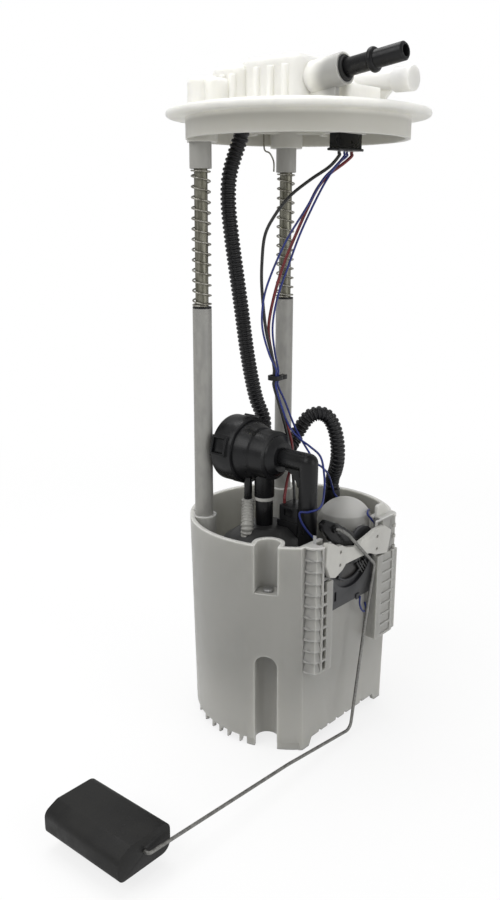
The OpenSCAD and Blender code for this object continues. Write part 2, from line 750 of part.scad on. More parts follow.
module sender_rail(corner, inner, web_x) {
  low = rim_z - rail_len;
  s = sign(corner);
  for (i = [0:rail_ribs - 1])
    translate([0, 0, rim_z - rib_t - i * rib_pitch]) linear_extrude(rib_t) rail_outline(corner, inner);
  translate([0, 0, low]) linear_extrude(rib_t) rail_outline(corner, inner);
  translate([web_x, rail_y, low]) cube([1.5, -flat_at - rail_y + 0.5, rail_len]);
  translate([min(inner, inner + s * 5.5), rail_y, low]) cube([5.5, 2, rail_len]);
  translate([inner - (s > 0 ? 0 : 1.6), rail_y, low]) cube([1.6, -flat_at - rail_y + 0.5, rail_len]);
}

module reservoir_bucket() {
  color("#c9c8c3") difference() {
    union() {
      difference() {
        bucket_cone(0, foot_z, rim_z);
        bucket_cone(bucket_wall, floor_z, rim_z + 1);
        translate([0, 0, -floor_t]) bucket_cone(bucket_wall, foot_z - 1, floor_z);
      }
      intersection() {
        bucket_cone(0, foot_z, rim_z);
        rod_places() translate([0, 0, tube_foot - 2])
          cylinder(r = tube_r + socket_wall, h = rim_z - tube_foot + 2);
      }
      intersection() {
        bucket_cone(0, foot_z, rim_z);
        at_groove() {
          translate([0, 0, foot_z]) cylinder(r = groove_r + bucket_wall, h = bucket_h);
          translate([0, -groove_r - bucket_wall, foot_z]) cube([20, groove_w + 2 * bucket_wall, bucket_h]);
        }
      }
      bucket_foot();
      sender_rail(-44, -27.9, -38.5);
      sender_rail(44, 19.5, 36.4);
      corner_foot(-44, -35);
      corner_foot(44, 35);
      rail_ear(-37, -29);
      rail_ear(26, 38);
    }
    rod_places() translate([0, 0, tube_foot]) cylinder(r = tube_r + run_fit, h = 100);
    groove_cut(rim_z - screw_seat, rim_z + 1);
    difference() {
      groove_cut(foot_z - 10, rim_z - groove_low);
      at_groove() translate([-20, 0, rim_z - groove_low - groove_r]) rotate([0, 90, 0])
        difference() {
          translate([-20, -20, 0]) cube([20, 40, 60]);
          cylinder(r = groove_r, h = 60);
        }
    }
    at_groove() translate([0, 0, rim_z - screw_seat - 12]) cylinder(r = 1.5, h = 13);
    sender_window();
    translate([check_at.x, check_at.y, floor_z - floor_t - 1]) cylinder(r = 2 + run_fit, h = floor_t + 2);
    for (a = [0:60:300]) translate([check_at.x, check_at.y, floor_z - floor_t - 1]) rotate(a)
      translate([4.6, 0, 0]) cylinder(r = 1.3, h = floor_t + 2, $fn = 24);
    for (x = [-26:9:19]) translate([x, -flat_at - 1, foot_z - 1]) cube([2.5, 2.2, 2.5]);
  }
}

module corner_foot(outer, inner) {
  s = sign(outer);
  intersection() {
    translate([0, 0, foot_z - 5]) cylinder(r = foot_r, h = 12);
    translate([0, -flat_at + 3, 0]) rotate([90, 0, 0]) linear_extrude(3)
      polygon([
        [outer, foot_z + 1], [inner - s * 2, foot_z + 1],
        [inner + s, foot_z - tooth_h], [outer, foot_z - tooth_h]
      ]);
  }
}

module rail_ear(x0, x1) {
  translate([0, rail_y + 8.5, 0]) rotate([90, 0, 0]) linear_extrude(2.2)
    polygon([
      [x0, rim_z - 4], [x0, rim_z + 5], [x0 + 2.2, rim_z + 7.2],
      [x1 - 3.4, rim_z + 7.2], [x1, rim_z + 3.4], [x1, rim_z - 4]
    ]);
}

// The low part of the flat wall where the sender sits, and the slots of its rails
module sender_window() {
  translate([-27, -flat_at - 6, rim_z - 22]) cube([53, 10, 30]);
  translate([sender_left - run_fit, card_slot_y, sender_low - run_fit])
    cube([
      sender_right - sender_left + 2 * run_fit,
      -flat_at - card_slot_y - run_fit,
      rim_z - sender_low + 20
    ]);
  translate([-36.9, rail_y - 2, bracket_low]) cube([75.3, bracket_back - rail_y + 2, 60]);
}

// Regulator, filter and pump

module housing_profile() {
  rotate([-90, 0, 0]) rotate_extrude()
    polygon([[0, -10], [9, -10], [12.4, -6.5], [12.4, -5], [14.8, -4.5], [14.8, 5.2],
      [15.6, 5.8], [16.5, 9], [18.4, 14.5], [18.4, 28], [0, 28]]);
}

module regulator_solid() {
  translate([regulator_x, 0, regulator_z]) {
    housing_profile();
    translate([0, tee_y, ring_z - regulator_z]) cylinder(r = 6.2, h = -ring_z + regulator_z);
    for (a = [0, 120, 240]) rotate([0, a - 165, 0]) translate([15, 19.5, -4.2]) cube([5.2, 8.4, 8.4]);
  }
  translate([-14, loop_start.y, regulator_z - 1]) rotate([0, 90, 0]) cylinder(r = hose_r, h = 14);
}

module regulator_housing() {
  color("#232324") difference() {
    regulator_solid();
    along_y(regulator_x, regulator_z, -11, -6, elbow_r - 1.2 + run_fit);
    translate([drain_from.x, drain_from.y, drain_low]) cylinder(r = 2.5 + run_fit, h = 16);
  }
}

module regulator_cap() {
  color("#1d1d1f") translate([regulator_x, 0, regulator_z]) difference() {
    union() {
      rotate([-90, 0, 0]) rotate_extrude() {
        translate([0, 15]) square([20.5, 14.2]);
        translate([0, 15]) square([18.5, 16.2]);
        translate([18.5, 29.2]) circle(2);
      }
      for (a = [0, 120, 240]) rotate([0, a - 165, 0]) translate([15, 17.6, -6.1]) cube([6.4, 12, 12.2]);
    }
    rotate([-90, 0, 0]) translate([0, 0, 14]) cylinder(r = 18.4 + run_fit, h = 15.2);
    for (a = [0, 120, 240]) rotate([0, a - 165, 0]) translate([14, 19.5 - gap, -4.2 - gap])
      cube([9, 8.4 + 2 * gap, 8.4 + 2 * gap]);
  }
}

module elbow_pipe() {
  z0 = elbow_foot;
  color("#232324") translate([regulator_x, 0, 0]) {
    along_y(0, regulator_z, elbow_y, -10, elbow_r);
    along_y(0, regulator_z, -10 - cut, -6, elbow_r - 1.2);
    translate([0, elbow_y, regulator_z]) sphere(elbow_r);
    translate([0, elbow_y, z0]) cylinder(r = elbow_r, h = regulator_z - z0);
    difference() {
      translate([-2, elbow_y, regulator_z - 16]) cube([4, 16, 16]);
      translate([-3, elbow_y + 18.4, regulator_z - 18.4]) rotate([0, 90, 0]) cylinder(r = 12, h = 6);
    }
  }
}

module tee_seal_ring() {
  color("#c4c3be") translate([regulator_x, tee_y, ring_z - 2.4]) cylinder(r = 5.9, h = 2.4);
}

module tee_socket() {
  color("#262628") translate([regulator_x, tee_y, lid_top]) cylinder(r = 5.4, h = ring_z - 2.4 - lid_top);
}

module outlet_pipe() {
  color("#232324") difference() {
    union() {
      translate([pipe_at.x, pipe_at.y, pipe_turn]) cylinder(r = pipe_r, h = pipe_top - pipe_turn);
      translate([pipe_at.x, pipe_at.y, pipe_top - 3]) cylinder(r = hose_r + 0.6, h = 3);
      translate([pipe_at.x, pipe_at.y, pipe_turn]) sphere(pipe_r);
      along_y(pipe_at.x, pipe_turn, pipe_y, pipe_at.y, pipe_r);
      translate([pipe_at.x, pipe_y, pipe_turn]) sphere(pipe_r);
      translate([regulator_x + 4, pipe_y, pipe_turn]) rotate([0, 90, 0])
        cylinder(r = pipe_r, h = pipe_at.x - regulator_x - 4);
    }
    translate([regulator_x, 0, regulator_z]) housing_profile();
  }
}

module lid_shape() {
  translate([canister_at.x, canister_at.y, canister_top]) {
    cylinder(r1 = canister_r, r2 = lid_flat_r, h = lid_rise);
    translate([0, 0, -2]) cylinder(r = canister_r, h = 2 + cut);
  }
}

module elbow_seat(extra) {
  translate([regulator_x, elbow_y, elbow_foot]) cylinder(r = elbow_r + extra, h = 60);
}

module filter_canister() {
  color("#202022") difference() {
    union() {
      translate([canister_at.x, canister_at.y, canister_foot])
        cylinder(r = canister_r, h = canister_top - 2 - canister_foot);
      translate([regulator_x, elbow_y, elbow_foot - 12]) cylinder(r = port_r, h = 14);
      translate([regulator_x - 4, elbow_y, elbow_foot - 12]) cube([8, 10, 14]);
    }
    translate([canister_at.x, canister_at.y, canister_foot + canister_wall])
      cylinder(r = canister_r - canister_wall, h = 200);
    elbow_seat(run_fit);
  }
}

module filter_lid() {
  color("#3c3c3a") difference() {
    lid_shape();
    elbow_seat(gap);
    translate([canister_at.x, canister_at.y, canister_top - 3])
      cylinder(r1 = canister_r - 4, r2 = lid_flat_r - 4, h = lid_rise - 1);
  }
  color("#3c3c3a") translate([drain_to.x, drain_to.y, canister_top - 1]) difference() {
    cylinder(r = 3.4, h = drain_seat - canister_top + 1);
    translate([0, 0, -1]) cylinder(r = 1.6, h = 20);
  }
}

module filter_element() {
  color("#d8d6c8") translate([canister_at.x, canister_at.y, canister_foot + canister_wall])
    tube(canister_r - canister_wall - gap, pump_r + gap, canister_top - 12 - canister_foot - canister_wall);
}

module in_pump(z) {
  translate([canister_at.x, canister_at.y, z]) children();
}

module pump_body() {
  color("#9a9a98") in_pump(pump_foot) tube(pump_r, pump_r - pump_shell, pump_top - pump_foot);
}

module pump_end_caps() {
  r = pump_r - pump_shell - run_fit;
  color("#2e2e30") {
    in_pump(pump_foot) tube(r, shaft_d / 2 + run_fit, cap_h);
    in_pump(pump_foot - 8) tube(6, 3, 8);
    in_pump(pump_top - cap_h) tube(r, shaft_d / 2 + run_fit, cap_h);
    in_pump(pump_top) tube(5, 3, canister_top - 4 - pump_top + 1);
  }
}

module pump_magnets() {
  color("#4a4a4c") in_pump(pump_foot + cap_h + 10)
    tube(pump_r - pump_shell - run_fit, pump_r - pump_shell - 3.5, pump_top - pump_foot - 2 * cap_h - 14);
}

module rotor_shaft() {
  color("silver") in_pump(pump_foot + 2) cylinder(r = shaft_d / 2, h = pump_top - pump_foot - 4);
}

module rotor_armature() {
  h = pump_top - pump_foot - 2 * cap_h - 22;
  color("#7a5a34") in_pump(pump_foot + cap_h + 14) tube(pump_r - pump_shell - 4.5, shaft_d / 2, h - 8);
  color("#a8703a") in_pump(pump_foot + cap_h + 14 + h - 8) tube(7, shaft_d / 2, 8);
}

module pump_impeller() {
  r = pump_r - pump_shell - 3;
  color("#2a2a2a") in_pump(pump_foot + cap_h + 1) difference() {
    tube(r, shaft_d / 2, 5);
    for (a = [0:15:345]) rotate(a) translate([r - 3, -0.9, -1]) cube([5, 1.8, 7]);
  }
}

module pump_connector() {
  color("#1f1f21") difference() {
    union() {
      rounded_block(block_at.x - block_w / 2, block_at.x + block_w / 2, block_at.y - block_w / 2,
        block_at.y + block_w / 2, canister_top - 6, block_top, 1.6);
      rounded_block(block_at.x - block_w / 2 - 1, block_at.x + block_w / 2 + 1, block_at.y - block_w / 2 - 1,
        block_at.y + block_w / 2 + 1, canister_top - 6, block_top - 9, 1.6);
    }
    lid_shape();
    translate([canister_at.x, canister_at.y, canister_top - 8]) cylinder(r = canister_r + gap, h = 8);
    translate([block_at.x - block_w / 2 - 0.5, block_at.y - 3, block_top - 6]) cube([1.5, 6, 4]);
    translate([block_at.x - 3, block_at.y - block_w / 2 - 0.5, block_top - 6]) cube([6, 1.5, 4]);
  }
}

module inlet_strainer() {
  color("#cfccbe") translate([canister_at.x, canister_at.y, floor_z]) tube(canister_r - 3, 6, strainer_t);
}

module check_valve() {
  color("#2a2a2a") translate([check_at.x, check_at.y, floor_z]) {
    cylinder(r1 = 8, r2 = 3, h = 2);
    translate([0, 0, -floor_t]) cylinder(r = 2, h = floor_t + 1);
    translate([0, 0, -floor_t - 1.4]) cylinder(r = 2.8, h = 1.4);
  }
}

module standpipe() {
  color("#c2c1bc") translate([stand_at.x, stand_at.y, 0]) difference() {
    union() {
      translate([0, 0, floor_z]) cylinder(r = stand_r, h = stand_top - stand_r - floor_z);
      translate([0, 0, stand_top - stand_r]) sphere(stand_r);
    }
    translate([0, 0, floor_z + 1.6]) cylinder(r = stand_r - 1.6, h = stand_top - stand_r - floor_z - 1.6);
    translate([0, 0, stand_top - stand_r]) sphere(stand_r - 1.6);
    translate([-3, 0, floor_z + 4]) cube([6, 30, 14]);
  }
}

module jet_pump() {
  color("#232324") translate([jet_at.x, jet_at.y, 0]) {
    translate([0, 0, cuff_top - 12]) cylinder(r = 5.4, h = 12);
    translate([0, 0, floor_z]) cylinder(r = 3.6, h = cuff_top - 12 - floor_z);
    translate([0, 0, floor_z]) cylinder(r = jet_base_r, h = 16);
    translate([0, 0, floor_z + 8]) rotate([-90, 0, 0]) cylinder(r = 4, h = 24);
  }
}

module drain_nipple() {
  color("#232324") difference() {
    translate([drain_from.x, drain_from.y, drain_low]) cylinder(r = 2.5, h = 16);
    translate([regulator_x, 0, regulator_z]) rotate([-90, 0, 0]) cylinder(r = 14.9, h = 40);
  }
}

module channel_screw() {
  color("#8f8f8c") at_groove() translate([0, 0, rim_z - screw_seat]) {
    cylinder(r = 3.2, h = 1.8);
    translate([0, 0, -10]) cylinder(r = 1.5 - run_fit, h = 10);
  }
}

// Level sender

module in_sender(y0, y1) {
  translate([0, y1, 0]) rotate([90, 0, 0]) linear_extrude(y1 - y0) children();
}

module sender_housing() {
  color("#2a2a2d") difference() {
    in_sender(sender_front, sender_back) difference() {
      union() {
        translate([sender_left, sender_low]) square([sender_right - sender_left, rim_z - 8 - sender_low]);
        translate([11, rim_z - 15]) circle(13);
      }
      translate([sender_left - 1, rim_z - 22]) square([14, 30]);
      translate([-27, rim_z - 8]) square([20, 20]);
    }
    in_sender(sender_front - 1, sender_floor) translate([pivot_x, pivot_z]) circle(recess_r);
    in_sender(sender_front - 1, sender_floor) translate([pivot_x - recess_r, pivot_z])
      square([recess_r * 2, 60]);
    in_sender(sender_floor - 1, sender_floor + 0.8) card_outline();
    in_sender(sender_front - 1, sender_back + 1) translate([-20, -276]) square([2, 6]);
    along_y(pivot_x, pivot_z, sender_front - 1, sender_back + 1, pivot_d / 2 + run_fit);
    in_sender(sender_front - 1, sender_front + 2) translate([sender_left - 1, sender_low - 1])
      square([9.6, 60]);
    in_sender(sender_front - 1, sender_front + 2) translate([sender_right - 8, sender_low - 1])
      square([9, 60]);
  }
}

module card_outline() {
  translate([pivot_x, pivot_z]) intersection() {
    difference() {
      circle(20);
      circle(9);
    }
    polygon([[0, 0], [-16, -32], [0, -40], [32, -28]]);
  }
}

module resistor_card() {
  color("#b9a36a") in_sender(sender_floor, sender_floor + 0.8) card_outline();
}

module sender_bracket() {
  color("#e4e3de") difference() {
    in_sender(bracket_front, bracket_back) difference() {
      polygon([
        [-36.6, -246.6], [-35.3, -233.2], [-30.4, -234.6], [-25.3, -237.8], [-21.1, -238.2],
        [-17.3, -240.6], [-4.7, -243.8], [-1.8, -241.9], [5.7, -240.5], [14.9, -238.4],
        [24.5, -238.3], [32.2, -243.2], [28.4, -257.2], [15.3, -254.7], [8, -251.6],
        [0.3, -251.2], [-16.8, -251], [-20.3, -253.9], [-27.3, -256.6], [-32.3, -255]
      ]);
      for (p = [[-22.3, -242.2], [-22.6, -250.1], [16.4, -243.2], [16.2, -251.3]])
        translate(p) circle(1.1, $fn = 24);
    }
    along_y(pivot_x, pivot_z, bracket_front + 1, 0, pivot_d / 2 + run_fit);
  }
}

module pivot_pin() {
  color("#9a9a98") along_y(pivot_x, pivot_z, bracket_front + 1, sender_back, pivot_d / 2);
}

module arm_hub() {
  color("#1c1c1e") difference() {
    union() {
      in_sender(hub_front, hub_back) union() {
        polygon([
          [-31.6, -221.1], [-35.7, -222.6], [-34.8, -226.6], [-25.4, -236.2], [-18.1, -240.5],
          [-10, -252], [3, -254], [4, -246], [-0.1, -243], [-5.2, -235.7], [-20.2, -226.3]
        ]);
        translate([pivot_x, pivot_z]) circle(8);
      }
      in_sender(hub_back - 0.8, hub_back + 0.4) translate([pivot_x, pivot_z]) for (a = [-52, -42, -32])
        rotate(a) translate([6, -0.9]) square([13, 1.8]);
      along_y(arm_path[0].x, arm_path[0].y, hub_front - 1.6, hub_front, 2.6);
    }
    along_y(pivot_x, pivot_z, -60, 0, pivot_d / 2 + run_fit);
    along_y(arm_path[0].x, arm_path[0].y, -60, hub_back - 0.6, arm_r);
  }
}

// Points of a bend of radius r at b, on the way from a to c
function bend(a, b, c, r, n) =
  let (u = unit(a - b), w = unit(c - b), half = acos(u * w) / 2,
       centre = b + unit(u + w) * r / sin(half),
       out = unit(b + u * r / tan(half) - centre))
    [for (k = [0:n]) let (t = (180 - 2 * half) * k / n) centre + r * (cos(t) * out - sin(t) * u)];

module arm_wire() {
  last = len(arm_path) - 1;
  float_pin_end = float_near + float_pin;
  ends = [
    [arm_path[0].x, hub_back - 0.6, arm_path[0].y],
    [arm_path[last].x, float_pin_end - 1, arm_path[last].y]
  ];
  corners = concat([ends[0]], [for (p = arm_path) [p.x, arm_y, p.y]], [ends[1]]);
  bends = [
    for (i = [1:len(corners) - 2])
      each bend(corners[i - 1], corners[i], corners[i + 1], arm_bends[i - 1], arm_bends[i - 1] > 20 ? 2 : 5)
  ];
  color("#8b8a80") {
    swept(concat([ends[0]], bends, [ends[1]]), arm_r - cut, 12);
    along_y(arm_path[0].x, arm_path[0].y, arm_y + arm_turn, hub_back - 0.6, arm_r);
    along_y(arm_path[last].x, arm_path[last].y, arm_y + arm_turn, float_pin_end, arm_r);
  }
}

module float() {
  color("#2e2d2b") difference() {
    translate([float_at.x, float_near + float_len, float_at.y - float_drop]) rotate([90, 0, 0])
      linear_extrude(float_len) hull() {
        translate([-float_w / 2 + 5, 1.5]) circle(5, $fn = 32);
        translate([-float_w / 2 + 4, -float_h / 2 + 4]) circle(4, $fn = 32);
        translate([float_w / 2 - 6, -float_h / 2 + 6]) circle(6, $fn = 32);
        translate([float_w / 2 - 5, float_h / 2 - 5]) circle(5, $fn = 32);
        translate([-float_w / 2 + 9, float_h / 2 - 3]) circle(3, $fn = 32);
      }
    along_y(float_at.x, float_at.y, float_near - 1, float_near + float_pin + gap, arm_r + run_fit);
  }
}

flange();
outlet_nipple();
nipple_seal();
vent_valve();
vent_cap();
harness_connector();
terminal_pins();
guide_rod_left();
guide_rod_right();
rod_sleeve_left();
rod_sleeve_right();
rod_stop_left();
rod_stop_right();
ground_strap();
spring_left();
spring_right();
main_hose();
wire_black();
wire_red();
wire_blue_a();
wire_blue_b();
reservoir_bucket();
guide_tube_left();
guide_tube_right();
tube_bushing_left();
tube_bushing_right();
regulator_housing();
regulator_cap();
elbow_pipe();
tee_seal_ring();
tee_socket();
outlet_pipe();
filter_canister();
filter_lid();
filter_element();
pump_body();
pump_end_caps();
pump_magnets();
pump_connector();
standpipe();
loop_hose();
jet_pump();
drain_nipple();
drain_hose();
harness_lower();
cable_tie();
sender_housing();
resistor_card();
sender_bracket();
sender_wires();
pivot_pin();
channel_screw();
inlet_strainer();
check_valve();
rotor_armature();
rotor_shaft();
pump_impeller();
arm_hub();
arm_wire();
float();
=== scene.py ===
import json
import math

import bmesh
import bpy
from mathutils import Matrix, Vector

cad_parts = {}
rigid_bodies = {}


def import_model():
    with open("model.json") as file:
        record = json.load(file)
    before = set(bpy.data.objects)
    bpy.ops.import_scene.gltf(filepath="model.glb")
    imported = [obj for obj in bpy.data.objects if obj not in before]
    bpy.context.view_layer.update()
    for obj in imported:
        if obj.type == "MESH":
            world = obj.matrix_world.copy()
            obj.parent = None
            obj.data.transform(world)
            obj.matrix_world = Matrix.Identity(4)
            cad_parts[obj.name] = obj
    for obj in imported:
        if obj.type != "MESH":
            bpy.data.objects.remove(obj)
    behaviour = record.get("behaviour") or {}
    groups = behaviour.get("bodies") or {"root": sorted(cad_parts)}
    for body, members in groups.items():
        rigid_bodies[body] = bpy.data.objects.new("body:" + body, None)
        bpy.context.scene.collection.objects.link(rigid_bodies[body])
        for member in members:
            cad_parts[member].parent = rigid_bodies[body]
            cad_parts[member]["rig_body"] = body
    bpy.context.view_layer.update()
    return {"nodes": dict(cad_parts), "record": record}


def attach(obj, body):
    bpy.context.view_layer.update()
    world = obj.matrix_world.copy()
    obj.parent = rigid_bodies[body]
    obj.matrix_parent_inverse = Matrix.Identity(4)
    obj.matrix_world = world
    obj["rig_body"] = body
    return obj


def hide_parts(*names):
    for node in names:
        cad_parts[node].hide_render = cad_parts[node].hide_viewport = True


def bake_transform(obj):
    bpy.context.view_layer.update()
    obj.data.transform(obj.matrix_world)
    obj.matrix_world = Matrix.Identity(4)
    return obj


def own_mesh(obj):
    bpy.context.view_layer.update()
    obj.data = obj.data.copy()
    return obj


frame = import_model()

MM = 0.001


def mm(*values):
    return Vector(values) * MM


# The camera stands where the photograph was taken from

EYE = mm(-433.875, -336.930, -47.926)
# Columns: the directions to the right, up and backwards
VIEW = (
    (0.651453, 0.194363, -0.733371),
    (-0.758684, 0.170331, -0.628797),
    (0.002701, 0.966028, 0.258423),
)
FILM_HEIGHT = 36
LENS = 36.47

camera_data = bpy.data.cameras.new("camera")
camera_data.sensor_fit = "VERTICAL"
camera_data.sensor_height = FILM_HEIGHT
camera_data.lens = LENS
camera_data.clip_start = 0.01
camera = bpy.data.objects.new("camera", camera_data)
camera.matrix_world = Matrix.Translation(EYE) @ Matrix(VIEW).to_4x4()
bpy.context.scene.collection.objects.link(camera)
bpy.context.scene.camera = camera
bpy.context.scene.view_settings.view_transform = "Standard"


# Shader tools

class Wire:
    """What runs from one shader node to the next; sums and products of wires add their Math nodes."""

    def __init__(self, nodes, socket):
        self.nodes = nodes
        self.socket = socket

    def maths(self, operation, first, second):
        return self.nodes.node("Math", {"operation": operation}, {0: first, 1: second})

    def __add__(self, other):
        return self.maths("ADD", self, other)

    def __sub__(self, other):
        return self.maths("SUBTRACT", self, other)

    def __rsub__(self, other):
        return self.maths("SUBTRACT", other, self)

    def __mul__(self, other):
        return self.maths("MULTIPLY", self, other)

    __radd__ = __add__
    __rmul__ = __mul__


class Nodes:
    """A node tree whose nodes are added together with their settings, values and links."""

    def __init__(self, tree):
        self.tree = tree

    def node(self, kind, settings=None, values=None, output=0):
        made = self.tree.nodes.new("ShaderNode" + kind)
        for name, value in (settings or {}).items():
            setattr(made, name, value)
        for socket, value in (values or {}).items():
            self.feed(made.inputs[socket], value)
        return Wire(self, made.outputs[output])

    def feed(self, socket, value):
        if isinstance(value, Wire):
            self.tree.links.new(value.socket, socket)
        else:
            socket.default_value = value


class Finish(Nodes):
    """One material on a Principled shader, with its nodes added in words that suit a surface."""

    def __init__(self, name, constants=None):
        self.material = bpy.data.materials.new(name)
        self.material.use_nodes = True
        super().__init__(self.material.node_tree)
        self.shader = self.tree.nodes["Principled BSDF"]
        self.set(constants or {})

    def set(self, sockets):
        for name, value in sockets.items():
            self.feed(self.shader.inputs[name], value)

    def point(self, stretch=(1, 1, 1)):
        """The place on the piece, in metres, its axes stretched."""
        place = self.node("TexCoord", output="Object")
        return self.node("Mapping", None, {"Vector": place, "Scale": stretch})

    def noise(self, size, stretch=(1, 1, 1), detail=3):
        """Clouds of about the given size in millimetres."""
        return self.node("TexNoise", None, {
            "Vector": self.point(stretch), "Scale": 1 / (size * MM), "Detail": detail,
        })

    def cells(self, size):
        """Round cells of about the given size in millimetres."""
        return self.node("TexVoronoi", None, {"Vector": self.point(), "Scale": 1 / (size * MM)})

    def height(self):
        """Height above the seal plane in metres."""
        return self.node("SeparateXYZ", None, {0: self.point()}, output=2)

    def ramp(self, value, low, high):
        """Rises smoothly from 0 to 1 while the value goes from low to high."""
        return self.node("MapRange", {"interpolation_type": "SMOOTHSTEP"}, {0: value, 1: low, 2: high})

    def mix(self, mask, first, second):
        return self.node("Mix", {"data_type": "RGBA"}, {0: mask, 6: first, 7: second}, output=2)

    def bump(self, relief, depth, strength=0.6):
        """Turns a relief of the given depth in millimetres into the surface's normal."""
        lifted = self.node("Bump", None, {"Strength": strength, "Distance": depth * MM, "Height": relief})
        self.set({"Normal": lifted})


def grey(value, warm=0.0):
    """A grey that loses some of its blue the warmer it is."""
    return (value * (1 + warm), value, value * (1 - 5 * warm), 1)


def moulded(name, dark, light, roughness, grain=0.35, relief=0.012, constants=None):
    """Injection moulded plastic: faint flow marks, a fine eroded grain and marks of handling."""
    finish = Finish(name, constants)
    flow = finish.noise(24, (1, 1, 0.35), 2)
    rub = finish.noise(5, (1, 1, 0.6), 4)
    fine = finish.noise(grain, detail=2)
    finish.set({
        "Base Color": finish.mix(finish.ramp(flow * 0.7 + rub * 0.3, 0.36, 0.64), dark, light),
        "Roughness": finish.ramp(rub, 0.3, 0.75) * 0.16 + roughness,
    })
    finish.bump(fine + flow * 2, relief)
    return finish


def drawn_metal(name, dark, light, roughness, streak=(1, 1, 0.06), size=0.7, relief=0.01):
    """Drawn or rolled metal with streaks along its length and oily spots."""
    finish = Finish(name, {"Metallic": 0.85})
    streaks = finish.noise(size, streak, 3)
    stain = finish.noise(4, (1, 1, 0.5), 4)
    finish.set({
        "Base Color": finish.mix(finish.ramp(streaks * 0.55 + stain * 0.45, 0.36, 0.64), dark, light),
        "Roughness": finish.ramp(stain, 0.3, 0.7) * 0.2 + roughness,
    })
    finish.bump(streaks, relief)
    return finish


# Heights in metres between which a moulding's tone changes: painted light on the foot, the rim band and the
# sleeves, painted shade on the spigot
FOOT_LIGHT = (-0.31, -0.367)
RIM_LIGHT_BAND = (-0.2364, -0.2352)
SPIGOT_SHADE = (-0.0004, -0.003)
SLEEVE_LIGHT = (-0.036, -0.03)
# The front of the outlet's boss and the distances from it over which painted shade turns the flange grey
BOSS_SHADE_CENTRE = mm(-10.5, -36, 18)
BOSS_SHADE_SPREAD = (0.0175, 0.009)


def acetal(name, gloss, depth):
    """A finish that lets light in to about the given depth in millimetres."""
    return Finish(name, {"Specular IOR Level": gloss, "Subsurface Weight": 1.0,
                         "Subsurface Scale": depth * MM, "Subsurface Radius": (1.0, 1.0, 0.95)})


def natural_reservoir():
    """Natural acetal: a little light comes through it, painted in as light: the band at the rim and the foot
    are painted paler than the walls.
    """
    finish = acetal("natural_plastic", 0.4, 6)
    z = finish.height()
    # Painted light: the foot and the band at the rim are painted paler than the walls
    foot = finish.ramp(z, *FOOT_LIGHT)
    rim = finish.ramp(z, *RIM_LIGHT_BAND)
    flow = finish.noise(40, (1, 1, 0.6), 2)
    rub = finish.noise(6, (1, 1, 0.5), 4)
    wall = finish.mix(finish.ramp(flow * 0.75 + rub * 0.25, 0.35, 0.65), grey(0.36, 0.011), grey(0.39, 0.012))
    wall = finish.mix(foot * 0.85, wall, grey(0.53, 0.013))
    finish.set({
        "Base Color": finish.mix(rim * 0.9, wall, grey(0.6, 0.01)),
        "Roughness": finish.ramp(rub, 0.3, 0.7) * 0.14 + 0.36,
    })
    finish.bump(finish.noise(0.4, detail=2) + finish.noise(40, detail=1) * 3, 0.02)
    return finish


def white_head():
    """White acetal of the flange with painted shade: its spigot below the rim and the boss of the outlet are
    painted greyer.
    """
    finish = acetal("white_plastic", 0.45, 4)
    flow = finish.noise(24, (1, 1, 0.35), 2)
    rub = finish.noise(5, (1, 1, 0.6), 4)
    # Painted shade: the spigot below the rim is painted greyer, and so is the outlet's boss
    spigot = finish.ramp(finish.height(), *SPIGOT_SHADE)
    boss_shade_distance = finish.node("VectorMath", {"operation": "DISTANCE"}, {0: finish.point(), 1: BOSS_SHADE_CENTRE},
                            output=1)
    shell = finish.mix(finish.ramp(flow * 0.7 + rub * 0.3, 0.36, 0.64), grey(0.84, 0.010), grey(0.90, 0.011))
    shell = finish.mix(spigot, shell, grey(0.60, 0.016))
    finish.set({
        "Base Color": finish.mix(finish.ramp(boss_shade_distance, *BOSS_SHADE_SPREAD) * 0.9, shell, grey(0.34, 0.008)),
        "Roughness": finish.ramp(rub, 0.3, 0.75) * 0.16 + 0.36,
    })
    finish.bump(finish.noise(0.5, detail=2) + flow * 2, 0.02)
    return finish


def guide_tubes():
    """Grey plastic of the guide tubes, with painted light on the sleeves above the springs, where the flange
    shades them.
    """
    finish = Finish("grey_plastic")
    rub = finish.noise(5, (1, 1, 0.4), 4)
    # Painted light: the sleeves under the flange are painted lighter
    sleeve = finish.ramp(finish.height(), *SLEEVE_LIGHT)
    tube = finish.mix(finish.ramp(rub, 0.36, 0.64), grey(0.275, 0.012), grey(0.325, 0.014))
    finish.set({
        "Base Color": finish.mix(sleeve, tube, grey(0.38, 0.014)),
        "Roughness": finish.ramp(rub, 0.3, 0.75) * 0.16 + 0.34,
    })
    finish.bump(finish.noise(0.5, detail=2), 0.02)
    return finish


def foam():
    """Closed cell rubber foam with a moulded skin: open pits, pale dust on the skin."""
    finish = Finish("float_rubber", {"Specular IOR Level": 0.26})
    cells = finish.cells(0.5)
    pits = finish.ramp(finish.noise(0.9, detail=4), 0.58, 0.74)
    dust = finish.noise(12, detail=5)
    skin = finish.mix(finish.ramp(dust, 0.35, 0.7), grey(0.008, 0.005), grey(0.017, 0.01))
    finish.set({
        "Base Color": finish.mix(pits * 0.8, skin, grey(0.009)),
        "Roughness": finish.ramp(dust, 0.3, 0.7) * 0.2 + 0.46,
    })
    finish.bump(cells * 0.5 + (1 - pits) * 1.2 + finish.noise(3, detail=3), 0.07, 0.8)
    return finish


def jacket(name, dark, light):
    """Smooth wire jacket with a slight sheen and marks of bending."""
    finish = Finish(name, {"Specular IOR Level": 0.5})
    marks = finish.noise(3, detail=4)
    finish.set({
        "Base Color": finish.mix(finish.ramp(marks, 0.35, 0.65), dark, light),
        "Roughness": finish.ramp(marks, 0.3, 0.7) * 0.15 + 0.3,
    })
    finish.bump(marks, 0.02)
    return finish


def woven(name, dark, light):
    """Pleated paper or mesh seen close: a fine grid of threads."""
    finish = Finish(name)
    threads = finish.cells(0.6)
    finish.set({"Base Color": finish.mix(finish.ramp(threads, 0.2, 0.8), dark, light), "Roughness": 0.8})
    finish.bump(threads, 0.05)
    return finish


